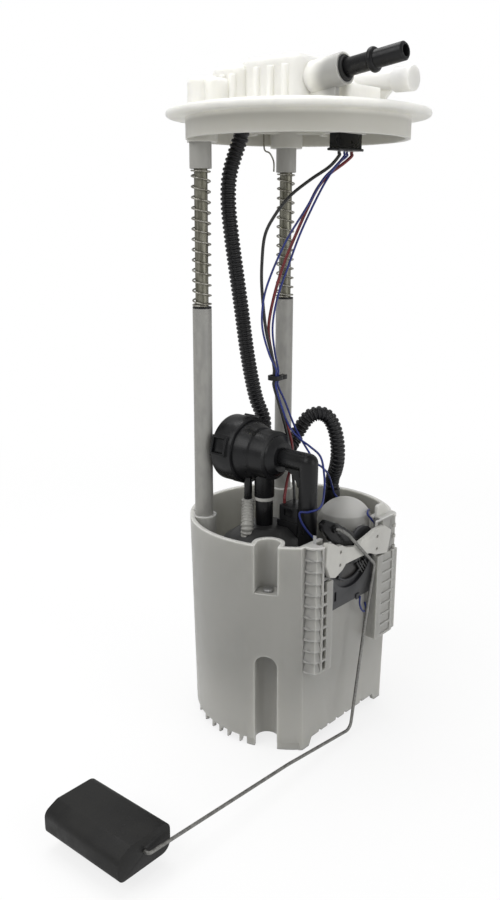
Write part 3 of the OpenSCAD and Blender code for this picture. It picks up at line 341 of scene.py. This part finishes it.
BLACK = (grey(0.005, -0.02), grey(0.011, -0.02))
# Black with painted shade: darker, for the arm's hub that the fill lamp lights too brightly
HUB_SHADED_BLACK = (grey(0.003, -0.02), grey(0.007, -0.02))
HOSE_BLACK = (grey(0.005, -0.02), grey(0.011, -0.03))
BRASS = ((0.6, 0.46, 0.22, 1), (0.75, 0.62, 0.34, 1))
OILY_STEEL = ((0.10, 0.097, 0.072, 1), (0.25, 0.243, 0.20, 1))
SPRING_STEEL = ((0.16, 0.15, 0.12, 1), (0.42, 0.41, 0.37, 1))
COPPER = ((0.45, 0.2, 0.08, 1), (0.7, 0.35, 0.16, 1))
RED = ((0.14, 0.012, 0.014, 1), (0.2, 0.02, 0.022, 1))
BLUE = ((0.005, 0.014, 0.12, 1), (0.009, 0.024, 0.2, 1))
PAPER = ((0.42, 0.40, 0.33, 1), (0.62, 0.60, 0.52, 1))
CERAMIC = ((0.020, 0.019, 0.018, 1), (0.034, 0.032, 0.030, 1))
UNSTRETCHED = (1, 1, 1)

FINISHES = {
    "white_plastic": white_head(),
    "black_plastic": moulded("black_plastic", *BLACK, roughness=0.26, grain=0.3, relief=0.012,
                             constants={"Specular IOR Level": 0.26}),
    # The arm's hub: glossier black plastic, darker than the other black plastic as painted shade
    "glossy_black_painted_shade": moulded("glossy_black_painted_shade", *HUB_SHADED_BLACK, roughness=0.16, grain=0.6, relief=0.02,
                            constants={"Specular IOR Level": 0.16}),
    "dark_grey_plastic": moulded("dark_grey_plastic", grey(0.014), grey(0.026), roughness=0.36, grain=0.4,
                                 relief=0.02),
    "rubber_seal": moulded("rubber_seal", grey(0.010), grey(0.018), roughness=0.55, grain=0.5, relief=0.03),
    "terminal_brass": drawn_metal("terminal_brass", *BRASS, roughness=0.25),
    "rod_steel": drawn_metal("rod_steel", *OILY_STEEL, roughness=0.34, streak=(1, 1, 0.1), size=1.6,
                             relief=0.03),
    "grey_plastic": guide_tubes(),
    "spring_steel": drawn_metal("spring_steel", *SPRING_STEEL, roughness=0.28, streak=UNSTRETCHED),
    "hose_rubber": moulded("hose_rubber", *HOSE_BLACK, roughness=0.30, grain=0.4, relief=0.012,
                           constants={"Specular IOR Level": 0.36}),
    "wire_black": jacket("wire_black", grey(0.006), grey(0.012)),
    "wire_red": jacket("wire_red", *RED),
    "wire_blue": jacket("wire_blue", *BLUE),
    "natural_plastic": natural_reservoir(),
    "white_seal": moulded("white_seal", grey(0.40, 0.01), grey(0.48, 0.012), roughness=0.4),
    "filter_medium": woven("filter_medium", *PAPER),
    "pump_steel": drawn_metal("pump_steel", grey(0.32), grey(0.5), roughness=0.25),
    "magnet": moulded("magnet", grey(0.05), grey(0.08), roughness=0.5),
    "clear_hose": moulded("clear_hose", grey(0.26, 0.012), grey(0.34, 0.014), roughness=0.24, grain=0.5,
                          relief=0.02),
    "sender_plastic": moulded("sender_plastic", grey(0.016, -0.02), grey(0.028, -0.03), roughness=0.34,
                              grain=0.4, relief=0.015),
    "card_ceramic": moulded("card_ceramic", *CERAMIC, roughness=0.3),
    "white_bracket": moulded("white_bracket", grey(0.50, 0.012), grey(0.58, 0.014), roughness=0.36, grain=0.4,
                             relief=0.02),
    "copper_winding": drawn_metal("copper_winding", *COPPER, roughness=0.3, streak=UNSTRETCHED),
    "arm_steel": drawn_metal("arm_steel", grey(0.15, 0.01), grey(0.27, 0.01), roughness=0.4,
                             streak=UNSTRETCHED, size=1.2),
    "float_rubber": foam(),
}


# Modelling tools

WIRE_SMOOTH, FOLD_SMOOTH, PART_SMOOTH = 60, 50, 38
ROUTE_STEPS = 8
HOSE_SIDES = 24
TURN_STEPS = 24
SLOT_OF = {part["node"]: part["material_slot"] for part in frame["record"]["subparts"]}
BODY_OF = {name: node["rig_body"] for name, node in frame["nodes"].items()}


def take(piece):
    """Selects this piece alone."""
    bpy.ops.object.select_all(action="DESELECT")
    piece.select_set(True)
    bpy.context.view_layer.objects.active = piece


def modify(piece, kind, **settings):
    """Adds a modifier with these settings and applies it."""
    take(piece)
    modifier = piece.modifiers.new(kind.lower(), kind)
    for name, value in settings.items():
        setattr(modifier, name, value)
    bpy.ops.object.modifier_apply(modifier=modifier.name)


def in_edit_mode(piece, *steps):
    """Runs mesh steps: each is a test of the faces to select, or an operator with its options."""
    take(piece)
    bpy.ops.object.mode_set(mode="EDIT")
    for step in steps:
        if callable(step):
            mesh = bmesh.from_edit_mesh(piece.data)
            for face in mesh.faces:
                face.select_set(step(face.calc_center_median() / MM, face.normal))
            mesh.select_flush_mode()
            bmesh.update_edit_mesh(piece.data)
        else:
            operator, options = step
            getattr(bpy.ops.mesh, operator)(**options)
    bpy.ops.object.mode_set(mode="OBJECT")


def settle(piece, name, slot, body, nodes, smooth=PART_SMOOTH, finish=None):
    """Applies the piece's place, smooths it and gives it its finish, its body and its CAD nodes.

    A piece without a body is left without one.
    """
    take(piece)
    bpy.ops.object.transform_apply(location=True, rotation=True, scale=True)
    bpy.ops.object.shade_smooth_by_angle(angle=math.radians(smooth))
    piece.name = name
    piece.data.materials.clear()
    piece.data.materials.append(FINISHES[finish or slot].material)
    if body:
        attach(piece, body)
    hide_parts(*nodes)
    return piece


def merged_copy(node, flat):
    """A copy of a CAD node's mesh, its triangles joined to faces where they turn less than flat degrees."""
    piece = bpy.data.objects.new(node + "_dressed", frame["nodes"][node].data.copy())
    bpy.context.scene.collection.objects.link(piece)
    take(piece)
    bpy.ops.mesh.customdata_custom_splitnormals_clear()
    in_edit_mode(
        piece,
        ("select_all", {"action": "SELECT"}),
        ("remove_doubles", {"threshold": 0.004 * MM}),
        ("dissolve_limited", {"angle_limit": math.radians(flat)}),
    )
    return piece


def softened(node, width, smooth=PART_SMOOTH, sharp=42, finish=None, flat=0.6):
    """The node with its mould edges rounded to the given width in millimetres.

    A mould edge turns more than sharp degrees; flat is how much merged_copy may join.
    """
    piece = merged_copy(node, flat)
    modify(piece, "BEVEL", width=width * MM, segments=2, limit_method="ANGLE",
           angle_limit=math.radians(sharp), use_clamp_overlap=True, loop_slide=True)
    return settle(piece, node + "_dressed", SLOT_OF[node], BODY_OF[node], [node], smooth, finish)


def block(low, high):
    """A plain block between two corners in millimetres."""
    bpy.ops.object.select_all(action="DESELECT")
    bpy.ops.mesh.primitive_cube_add(size=1, location=mm(*[(a + b) / 2 for a, b in zip(low, high)]))
    piece = bpy.context.object
    piece.scale = [abs(b - a) * MM for a, b in zip(low, high)]
    bpy.ops.object.transform_apply(location=False, rotation=False, scale=True)
    return piece


def slab(name, low, high, slot, nodes, edge=0.3, turn=0.0, about=None):
    """A moulded block on the reservoir with rounded edges, turned by degrees about a line along y."""
    piece = block(low, high)
    if turn:
        bpy.ops.transform.rotate(value=math.radians(turn), orient_axis="Y",
                                 center_override=mm(*about) if about else piece.location)
    modify(piece, "BEVEL", width=edge * MM, segments=3, limit_method="ANGLE")
    return settle(piece, name, slot, "reservoir", nodes)


def rounded_corner(piece, x, y, radius):
    """Rounds the upright edge of a block that stands at x, y."""
    take(piece)
    bpy.ops.object.mode_set(mode="EDIT")
    mesh = bmesh.from_edit_mesh(piece.data)
    for edge in mesh.edges:
        ends = [piece.matrix_world @ vertex.co / MM for vertex in edge.verts]
        edge.select_set(all(abs(end.x - x) < 0.01 and abs(end.y - y) < 0.01 for end in ends))
    bmesh.update_edit_mesh(piece.data)
    bpy.ops.mesh.bevel(offset=radius * MM, segments=8, affect="EDGES")
    bpy.ops.object.mode_set(mode="OBJECT")


def rail_skin(name, low, high, corner, lean=0.0):
    """The web between the ribs of a sender rail with its round outer corner; its top leans inwards."""
    piece = block(low, high)
    rounded_corner(piece, *corner)
    if lean:
        in_edit_mode(piece, lambda centre, normal: normal.z > 0.9)
        bpy.ops.object.mode_set(mode="EDIT")
        bpy.ops.transform.translate(value=(lean * MM, lean * MM, 0))
        bpy.ops.object.mode_set(mode="OBJECT")
    return settle(piece, name, "natural_plastic", "reservoir", ["reservoir_bucket"])


def between(a, b, c, d, t):
    """The point at share t from b to c, on a smooth line that also passes a and d."""
    slope = c - a
    bend = 2 * a - 5 * b + 4 * c - d
    twist = 3 * b - a - 3 * c + d
    return 0.5 * (2 * b + slope * t + bend * t * t + twist * t ** 3)


def smooth_route(points):
    """A smooth line through points given in millimetres."""
    given = [mm(*p) for p in points]
    last = len(given) - 1
    line = []
    for i in range(last):
        a, b, c, d = given[max(i - 1, 0)], given[i], given[i + 1], given[min(i + 2, last)]
        line += [between(a, b, c, d, j / ROUTE_STEPS) for j in range(ROUTE_STEPS)]
    return line + [given[last]]


def route_curve(name, line):
    """A curve object with straight stretches along a line."""
    data = bpy.data.curves.new(name, "CURVE")
    data.dimensions = "3D"
    data.twist_mode = "MINIMUM"
    spline = data.splines.new("POLY")
    spline.points.add(len(line) - 1)
    for point, place in zip(spline.points, line):
        point.co = (*place, 1)
    curve = bpy.data.objects.new(name, data)
    bpy.context.scene.collection.objects.link(curve)
    return curve


def wire(name, line, radius, slot, body, nodes, sides=12):
    """A round wire along a line, with closed ends."""
    curve = route_curve(name, line)
    curve.data.bevel_depth = radius * MM
    curve.data.bevel_resolution = sides // 2 - 2
    curve.data.use_fill_caps = True
    take(curve)
    bpy.ops.object.convert(target="MESH")
    return settle(bpy.context.object, name, slot, body, nodes, WIRE_SMOOTH)


def length_of(line):
    """The length of a line in metres."""
    return sum((b - a).length for a, b in zip(line, line[1:]))


def corrugated(name, line, root, crest, pitch):
    """A corrugated hose along a line: one fold is turned, repeated and laid along the route."""
    count = round(length_of(line) / (pitch * MM))
    pitch = length_of(line) / count
    shoulder = root + (crest - root) * 0.75
    fold = (
        (0.16, root), (0.26, shoulder), (0.38, crest), (0.66, crest),
        (0.78, shoulder), (0.88, root), (1, root),
    )
    bpy.ops.object.select_all(action="DESELECT")
    bpy.ops.mesh.primitive_circle_add(vertices=HOSE_SIDES, radius=root * MM, location=(0, 0, 0))
    piece = bpy.context.object
    take(piece)
    bpy.ops.object.mode_set(mode="EDIT")
    bpy.ops.mesh.select_all(action="SELECT")
    reached, radius = 0, root
    for share, wanted in fold:
        bpy.ops.mesh.extrude_region_move(TRANSFORM_OT_translate={"value": (0, 0, (share - reached) * pitch)})
        wider = wanted / radius
        bpy.ops.transform.resize(value=(wider, wider, 1), center_override=(0, 0, share * pitch))
        reached, radius = share, wanted
    bpy.ops.object.mode_set(mode="OBJECT")
    modify(piece, "ARRAY", count=count, use_relative_offset=False, use_constant_offset=True,
           constant_offset_displace=(0, 0, pitch), use_merge_vertices=True, merge_threshold=0.01 * MM)
    curve = route_curve(name + "_route", line)
    modify(piece, "CURVE", object=curve, deform_axis="POS_Z")
    bpy.data.objects.remove(curve)
    in_edit_mode(piece, ("select_all", {"action": "DESELECT"}), ("select_non_manifold", {}),
                 ("edge_face_add", {}), ("select_all", {"action": "SELECT"}),
                 ("normals_make_consistent", {"inside": False}))
    return piece


def hose(node, slot, body, fold):
    """The corrugated hose in place of a plain CAD tube; fold is its inner and outer radius and its pitch."""
    name = node + "_folds"
    piece = corrugated(name, smooth_route(HOSE_ROUTES[node]), *fold)
    return settle(piece, name, slot, body, [node], FOLD_SMOOTH)


def coil_line(x):
    """The middle line of a spring on the guide rod at x: even turns with one closed turn at each end."""
    length = SPRING_TOP - SPRING_BOTTOM
    line = []
    for i in range(int(SPRING_TURNS * TURN_STEPS) + 1):
        turn = i / TURN_STEPS
        if turn < 1:
            drop = turn * CLOSED
        elif turn > SPRING_TURNS - 1:
            drop = length - (SPRING_TURNS - turn) * CLOSED
        else:
            drop = CLOSED + (length - 2 * CLOSED) * (turn - 1) / (SPRING_TURNS - 2)
        angle = 2 * math.pi * turn
        line.append(mm(x + SPRING_R * math.cos(angle), ROD_Y + SPRING_R * math.sin(angle), SPRING_TOP - drop))
    return line


# Hoses, wires and springs

POWER_R, SIGNAL_R = 0.95, 0.65

# Each route is a list of points in millimetres
HOSE_ROUTES = {
    "main_hose": [
        (-13.3, 31.1, -3.3), (-13.3, 31.1, -6), (-13.3, 31.1, -9), (-14.6, 33, -15), (-17.6, 36.3, -30),
        (-17.3, 37.7, -45.7), (-15, 37.3, -65.5), (-11.3, 36.7, -87), (-7.4, 36.3, -108), (-1.6, 35.7, -140),
        (3.6, 33.8, -165), (7, 31.2, -176.6), (8, 30, -182), (8, 30, -185), (8, 30, -187.7),
    ],
    "loop_hose": [
        (0.3, 5, -194), (1.8, 5, -194), (3.6, 5, -194), (7.6, 5.6, -191.6), (10.6, 4.9, -186.6),
        (12.8, 2, -180.5), (15.4, -1.3, -175.4), (19.5, -6.1, -173.7), (23.2, -10.4, -176.6),
        (25.8, -13.4, -184.4), (27, -14.9, -194.2), (27.8, -14.6, -204), (31.6, -10.4, -213),
        (36.8, -5.2, -218.8), (39, -3, -223.4), (39, -3, -225.6), (39, -3, -227.7),
    ],
    "drain_hose": [
        (-28, 12.5, -222.3), (-28.3, 12.3, -224.6), (-29.6, 11.2, -227), (-32, 9.3, -229.8),
        (-34.7, 7.2, -232.6), (-36.7, 5.7, -235.2), (-37.5, 5, -238), (-37.5, 5, -240.4), (-37.5, 5, -242.8),
    ],
}
# Above the cable tie: radius of the jacket and route
WIRE_ROUTES = {
    "wire_black": (POWER_R, [
        (14.4, -19, -17.5), (14.4, -19, -18.7), (14.4, -19, -20), (12, -14, -26), (4.9, -5.7, -33.3),
        (-2.5, 2.9, -42.2), (-8.1, 9.4, -52.9), (-11.8, 13.8, -64.3), (-12.9, 15.1, -79.8), (-12.9, 15, -96),
        (-11.2, 13.1, -120), (-8.8, 10.3, -135), (-7.9, 9.2, -143.5), (-7.9, 9.2, -146.5), (-7.9, 9.2, -149),
    ]),
    "wire_red": (POWER_R, [
        (24, -21, -17.5), (24, -21, -18.7), (24, -21, -20), (20.8, -17.4, -24.2), (15.2, -11.8, -30),
        (11, -6.8, -37.7), (7, -2.2, -50), (2.8, 2.4, -64.2), (-1.7, 6.9, -79.8), (-5.2, 10.6, -96),
        (-7.6, 13.3, -113), (-7.8, 13.6, -124), (-6.4, 12.2, -135), (-5.4, 10.7, -143.5),
        (-5.4, 10.7, -146.5), (-5.4, 10.7, -149),
    ]),
    "wire_blue_a": (SIGNAL_R, [
        (17.6, -20.4, -17.5), (17.6, -20.4, -18.7), (17.6, -20.4, -20), (13.8, -16.4, -26.3), (8, -12, -33.8),
        (1.8, -6.2, -48.4), (-6, 2.2, -67), (-12, 8.9, -87), (-14.8, 12.2, -102), (-15.2, 12.6, -118),
        (-12, 9.8, -134), (-8.6, 6.9, -143.5), (-8.6, 6.9, -146.5), (-8.6, 6.9, -149),
    ]),
    "wire_blue_b": (SIGNAL_R, [
        (20.8, -20, -17.5), (20.8, -20, -18.7), (20.8, -20, -20), (17.2, -17, -24), (12.8, -13, -31.6),
        (8.7, -7.4, -44.4), (2.9, -0.6, -64), (-1.5, 4.6, -83), (-5.4, 9.2, -101), (-7.2, 11.2, -118),
        (-6.5, 10, -133), (-5.2, 8.2, -143.5), (-5.2, 8.2, -146.5), (-5.2, 8.2, -149),
    ]),
}
# Below the cable tie: finish, radius and route
LOWER_ROUTES = {
    "lower_black": ("wire_black", POWER_R, [
        (-7.9, 9.2, -149.2), (-7.9, 9.2, -151.2), (-7.9, 9.2, -154.2), (-7.2, 6, -164), (-5.8, 1.8, -178),
        (-5.2, -1.4, -191), (-6.4, -4.8, -204), (-9, -8.2, -214), (-9.8, -9.4, -220.7), (-9.8, -9.4, -222.7),
        (-9.8, -9.4, -224.7),
    ]),
    "lower_red": ("wire_red", POWER_R, [
        (-5.4, 10.7, -149.2), (-5.4, 10.7, -151.2), (-5.4, 10.7, -154.2), (-5, 7, -164), (-3.4, 2.2, -178),
        (-2.6, -1.4, -191), (-4.6, -2, -204), (-9.6, -3.4, -212), (-14, -5, -220.7), (-14, -5, -222.7),
        (-14, -5, -224.7),
    ]),
    "lower_blue_a": ("wire_blue", SIGNAL_R, [
        (-8.6, 6.9, -149.2), (-8.6, 6.9, -151.2), (-8.6, 6.9, -154.2), (-8.4, 3.4, -164), (-7.4, -2.4, -177),
        (-9.2, -12, -183.4), (-14.6, -24, -185.2), (-15.2, -32.5, -190), (-16, -36, -200),
        (-16.6, -36.8, -210), (-20.6, -37.4, -218.5), (-27.8, -34.2, -220.6), (-30.2, -29.4, -221.6),
        (-29.2, -30.6, -228), (-26, -35.8, -236), (-19, -37, -240), (-14, -31, -243), (-12.6, -23.5, -245.6),
    ]),
    "lower_blue_b": ("wire_blue", SIGNAL_R, [
        (-5.2, 8.2, -149.2), (-5.2, 8.2, -151.2), (-5.2, 8.2, -154.2), (-3.2, 4, -164), (-1.2, -1.6, -178),
        (-0.4, -8, -188), (1, -16.6, -199), (7, -17.4, -203.8), (13.6, -16.4, -208.5), (20.4, -14.2, -214.5),
        (26, -12.4, -222), (33.6, -9.6, -230), (40, -14, -236), (42.5, -24, -238), (38, -33, -236),
        (28.6, -38.6, -232.9), (23.6, -41.5, -233.4), (25.2, -43.2, -236.6), (28.6, -43.9, -241),
        (30.6, -44.2, -243.9),
    ]),
}
SENDER_ROUTE = [
    (6.1, -49.6, -280.5), (6.3, -49.4, -285.5), (8.9, -49, -290.3), (12.8, -48.6, -293.4),
    (16.4, -47.6, -293.2), (18.4, -45.2, -290),
]
STRAP_ROUTE = [
    (26, 46.8, -0.4), (26, 46.8, -3), (26.4, 46.6, -13.5), (28.6, 44, -16), (30.2, 42.1, -21),
    (30.3, 42, -27),
]

# Inner radius, outer radius and pitch of the folds
HOSE_FOLD = (3.9, 4.7, 2.7)
DRAIN_FOLD = (3.45, 3.95, 2.1)

SENDER_WIRE_R, STRAP_R = 0.6, 0.5

# Springs: ends, mean radius, wire radius, number of turns and drop of a closed turn
SPRING_TOP, SPRING_BOTTOM = -27.975, -104.925
SPRING_R, SPRING_WIRE, SPRING_TURNS, CLOSED = 5.3, 0.525, 14.67, 1.155
ROD_X, ROD_Y = 39.2, 39.2

main_hose = hose("main_hose", "hose_rubber", None, HOSE_FOLD)
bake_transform(main_hose)
hose("loop_hose", "hose_rubber", "reservoir", HOSE_FOLD)
hose("drain_hose", "clear_hose", "reservoir", DRAIN_FOLD)

for node, (radius, route) in WIRE_ROUTES.items():
    upper_wire = wire(node + "_jacket", smooth_route(route), radius, SLOT_OF[node], None, [node])
    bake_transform(upper_wire)
for name, (slot, radius, route) in LOWER_ROUTES.items():
    wire(name, smooth_route(route), radius, slot, "reservoir", ["harness_lower"])
wire("sender_wire_loop", smooth_route(SENDER_ROUTE), SENDER_WIRE_R, "wire_blue", "reservoir",
     ["sender_wires"])
wire("strap_wire", smooth_route(STRAP_ROUTE), STRAP_R, "spring_steel", "head", ["ground_strap"])

for side, x in (("left", -ROD_X), ("right", ROD_X)):
    spring = wire("coil_" + side, coil_line(x), SPRING_WIRE, "spring_steel", "head", ["spring_" + side],
                  sides=10)
    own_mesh(spring)


# Moulded parts

# Widths of the rounded mould edges in millimetres
EDGES = {
    "flange": 0.7, "vent_valve": 0.5, "vent_cap": 0.6, "outlet_nipple": 0.25, "nipple_seal": 0.3,
    "harness_connector": 0.4, "rod_sleeve_left": 0.3, "rod_sleeve_right": 0.3, "guide_tube_left": 0.25,
    "guide_tube_right": 0.25, "tube_bushing_left": 0.2, "tube_bushing_right": 0.2,
    "regulator_housing": 0.4, "regulator_cap": 0.45, "elbow_pipe": 0.3, "tee_seal_ring": 0.3,
    "tee_socket": 0.3, "outlet_pipe": 0.3, "filter_canister": 0.4, "filter_lid": 0.4, "pump_connector": 0.4,
    "jet_pump": 0.4, "drain_nipple": 0.2, "cable_tie": 0.3, "sender_housing": 0.25, "sender_bracket": 0.35,
    "channel_screw": 0.3, "standpipe": 0.4, "rod_stop_left": 0.3, "rod_stop_right": 0.3,
}
for node, width in EDGES.items():
    softened(node, width)
# The arm's hub gets the glossier black with painted shade
softened("arm_hub", 0.5, finish="glossy_black_painted_shade")
# The bucket's cone shades in streaks when its triangles are joined to large faces
softened("reservoir_bucket", 0.3, flat=0.01)
for node, cad in frame["nodes"].items():
    if not cad.hide_render:
        cad.data.materials.clear()
        cad.data.materials.append(FINISHES[SLOT_OF[node]].material)

# Pockets of the left rail: they stand under each other between ribs, their ends sunk into the ribs
RIM, RIB, PITCH, POCKETS = -235, 1.3, 7.1, 11
RAIL_END, SUNK = -312.8, 0.1
POCKET_X, POCKET_Y, POCKET_ROUND, POCKET_LEAN = -43.7, -52.7, 5.4, 1.5
for i in range(POCKETS):
    upper = RIM - RIB - i * PITCH
    lower = max(upper - PITCH + RIB, RAIL_END)
    rail_skin("left_rail_pocket_%d" % i, (POCKET_X, POCKET_Y, lower - SUNK), (-38.2, -44.2, upper + SUNK),
              corner=(POCKET_X, POCKET_Y, POCKET_ROUND), lean=POCKET_LEAN)
rail_skin("right_rail_web", (21.2, -52.2, -313.5), (43.1, -44.2, -258.6), corner=(43.1, -52.2, 6.1))
rail_skin("right_rail_web_top", (27.4, -50.7, -258.6), (41.9, -44.2, -236.4), corner=(41.9, -50.7, 4.8))

# Latch frame on the regulator cap, laid out about the regulator's axis and then turned to its place
CAP_AXIS = (-22, 0, -193)
LATCH_TURN = 165
LATCH = {
    "latch_top": ((21.2, 18.2, 4.6), (22.1, 28.8, 6.1)),
    "latch_foot": ((21.2, 18.2, -6.1), (22.1, 28.8, -4.6)),
    "latch_side": ((21.2, 17.7, -6.1), (22.1, 19.2, 6.1)),
}
for name, corners in LATCH.items():
    place = [tuple(a + b for a, b in zip(CAP_AXIS, corner)) for corner in corners]
    slab(name, *place, "black_plastic", ["regulator_cap"], edge=0.25, turn=LATCH_TURN, about=CAP_AXIS)

# Comb of slanted teeth on the level sender
COMB_TEETH, COMB_X, COMB_STEP, COMB_HALF = 4, 6.4, 2.7, 0.55
for i in range(COMB_TEETH):
    x = COMB_X + COMB_STEP * i
    slab("comb_%d" % i, (x - COMB_HALF, -48.4, -267.5), (x + COMB_HALF, -46.6, -256.8), "wire_black",
         ["sender_housing"], edge=0.2, turn=40, about=(x, -47.5, -262))

# Ridge around the sender's track, about the pivot of the arm
PIVOT_X, PIVOT_Z = -3, -248
RIDGE_Y, RIDGE_RADIUS, RIDGE_WIRE = -47.4, 18.4, 0.8
ridge = []
for degrees in range(228, 322, 3):
    angle = math.radians(degrees)
    across, up = RIDGE_RADIUS * math.cos(angle), RIDGE_RADIUS * math.sin(angle)
    ridge.append(mm(PIVOT_X + across, RIDGE_Y, PIVOT_Z + up))
wire("track_ridge", ridge, RIDGE_WIRE, "sender_plastic", "reservoir", ["sender_housing"])

# Rivets and a lug of the sender; the rivets stay flat because the arm's hub passes over them
RIVETS = ((-12.6, -259.2), (-9.4, -257.6), (-6.4, -256))
RIVET_HALF = 0.7
for i, (x, z) in enumerate(RIVETS):
    slab("rivet_%d" % i, (x - RIVET_HALF, -46.5, z - RIVET_HALF), (x + RIVET_HALF, -46.2, z + RIVET_HALF),
         "pump_steel", ["sender_housing"], turn=30)
slab("sender_lug", (2.6, -49.3, -282), (6.4, -48.4, -278.4), "sender_plastic", ["sender_housing"])

# Ledge over the screw in the groove of the reservoir
LEDGE_RADIUS, LEDGE_DROP, LEDGE_WIRE = 63.3, 30.3, 0.5
ledge = []
for degrees in (-161.2, -159, -157, -155.3, -153.5, -151.5, -149.4):
    angle = math.radians(degrees)
    ledge.append(mm(LEDGE_RADIUS * math.cos(angle), LEDGE_RADIUS * math.sin(angle), RIM - LEDGE_DROP))
wire("screw_seat_ledge", ledge, LEDGE_WIRE, "white_seal", "reservoir", ["reservoir_bucket"])

softened("arm_wire", 0.05, smooth=60, sharp=80)
softened("float", 1.6, smooth=60, sharp=30)


# Studio

WHITE = (1, 1, 1, 1)
FLOOR_Z = -367.3
# Share of the floor's own white beside the part, and the distances over which it rises to all of it
NEAR_GLOW = 0.78
GLOW = (0.4, 0.75)
SURROUND = 0.54

floor_finish = Finish("studio_floor", {"Roughness": 0.9, "Specular IOR Level": 0.1})
seen = floor_finish.node("LightPath", output="Is Camera Ray")
glossy = floor_finish.node("LightPath", output="Is Glossy Ray")
white = floor_finish.node("Emission", None, {"Color": WHITE, "Strength": 1.0})
floor_finish.set({"Base Color": floor_finish.mix(seen + glossy, grey(0.55), grey(0.97))})
out_from_part = floor_finish.node("VectorMath", {"operation": "LENGTH"}, {0: floor_finish.point()}, output=1)
far = floor_finish.ramp(out_from_part, *GLOW)
glowing = floor_finish.node("MixShader", None, {
    0: (seen + glossy) * (far * (1 - NEAR_GLOW) + NEAR_GLOW),
    1: Wire(floor_finish, floor_finish.shader.outputs[0]),
    2: white,
})
floor_finish.feed(floor_finish.tree.nodes["Material Output"].inputs["Surface"], glowing)
bpy.ops.object.select_all(action="DESELECT")
bpy.ops.mesh.primitive_plane_add(size=8, location=mm(0, 0, FLOOR_Z))
floor = bpy.context.object
floor.name = "studio_floor"
floor.data.materials.append(floor_finish.material)

world = bpy.data.worlds.new("studio")
bpy.context.scene.world = world
world.use_nodes = True
world.node_tree.nodes.clear()
studio = Nodes(world.node_tree)
straight = studio.node("Math", {"operation": "MAXIMUM"}, {
    0: studio.node("LightPath", output="Is Camera Ray"),
    1: studio.node("LightPath", output="Is Transmission Ray"),
})
surround = studio.node("Background", None, {"Color": WHITE, "Strength": SURROUND})
backdrop = studio.node("Background", None, {"Color": WHITE})
result = studio.tree.nodes.new("ShaderNodeOutputWorld")
studio.feed(result.inputs["Surface"], studio.node("MixShader", None, {0: straight, 1: surround, 2: backdrop}))


def softbox(name, place, target, size, watts):
    """A rectangular lamp at a place in metres that faces its target."""
    light = bpy.data.lights.new(name, "AREA")
    light.shape = "RECTANGLE"
    light.size, light.size_y = size
    light.energy = watts
    lamp = bpy.data.objects.new(name, light)
    lamp.location = place
    lamp.rotation_euler = (Vector(target) - Vector(place)).to_track_quat("-Z", "Y").to_euler()
    bpy.context.scene.collection.objects.link(lamp)


softbox("key", (-1.1, 0.15, 0.75), (0, 0, -0.2), (0.9, 0.9), 6.5)
softbox("fill", (0.1, -1.3, 0.1), (0, 0, -0.2), (0.8, 1.1), 4.6)
softbox("top", (0.1, 0.3, 1.2), (0, 0, 0), (1.0, 1.0), 9.6)
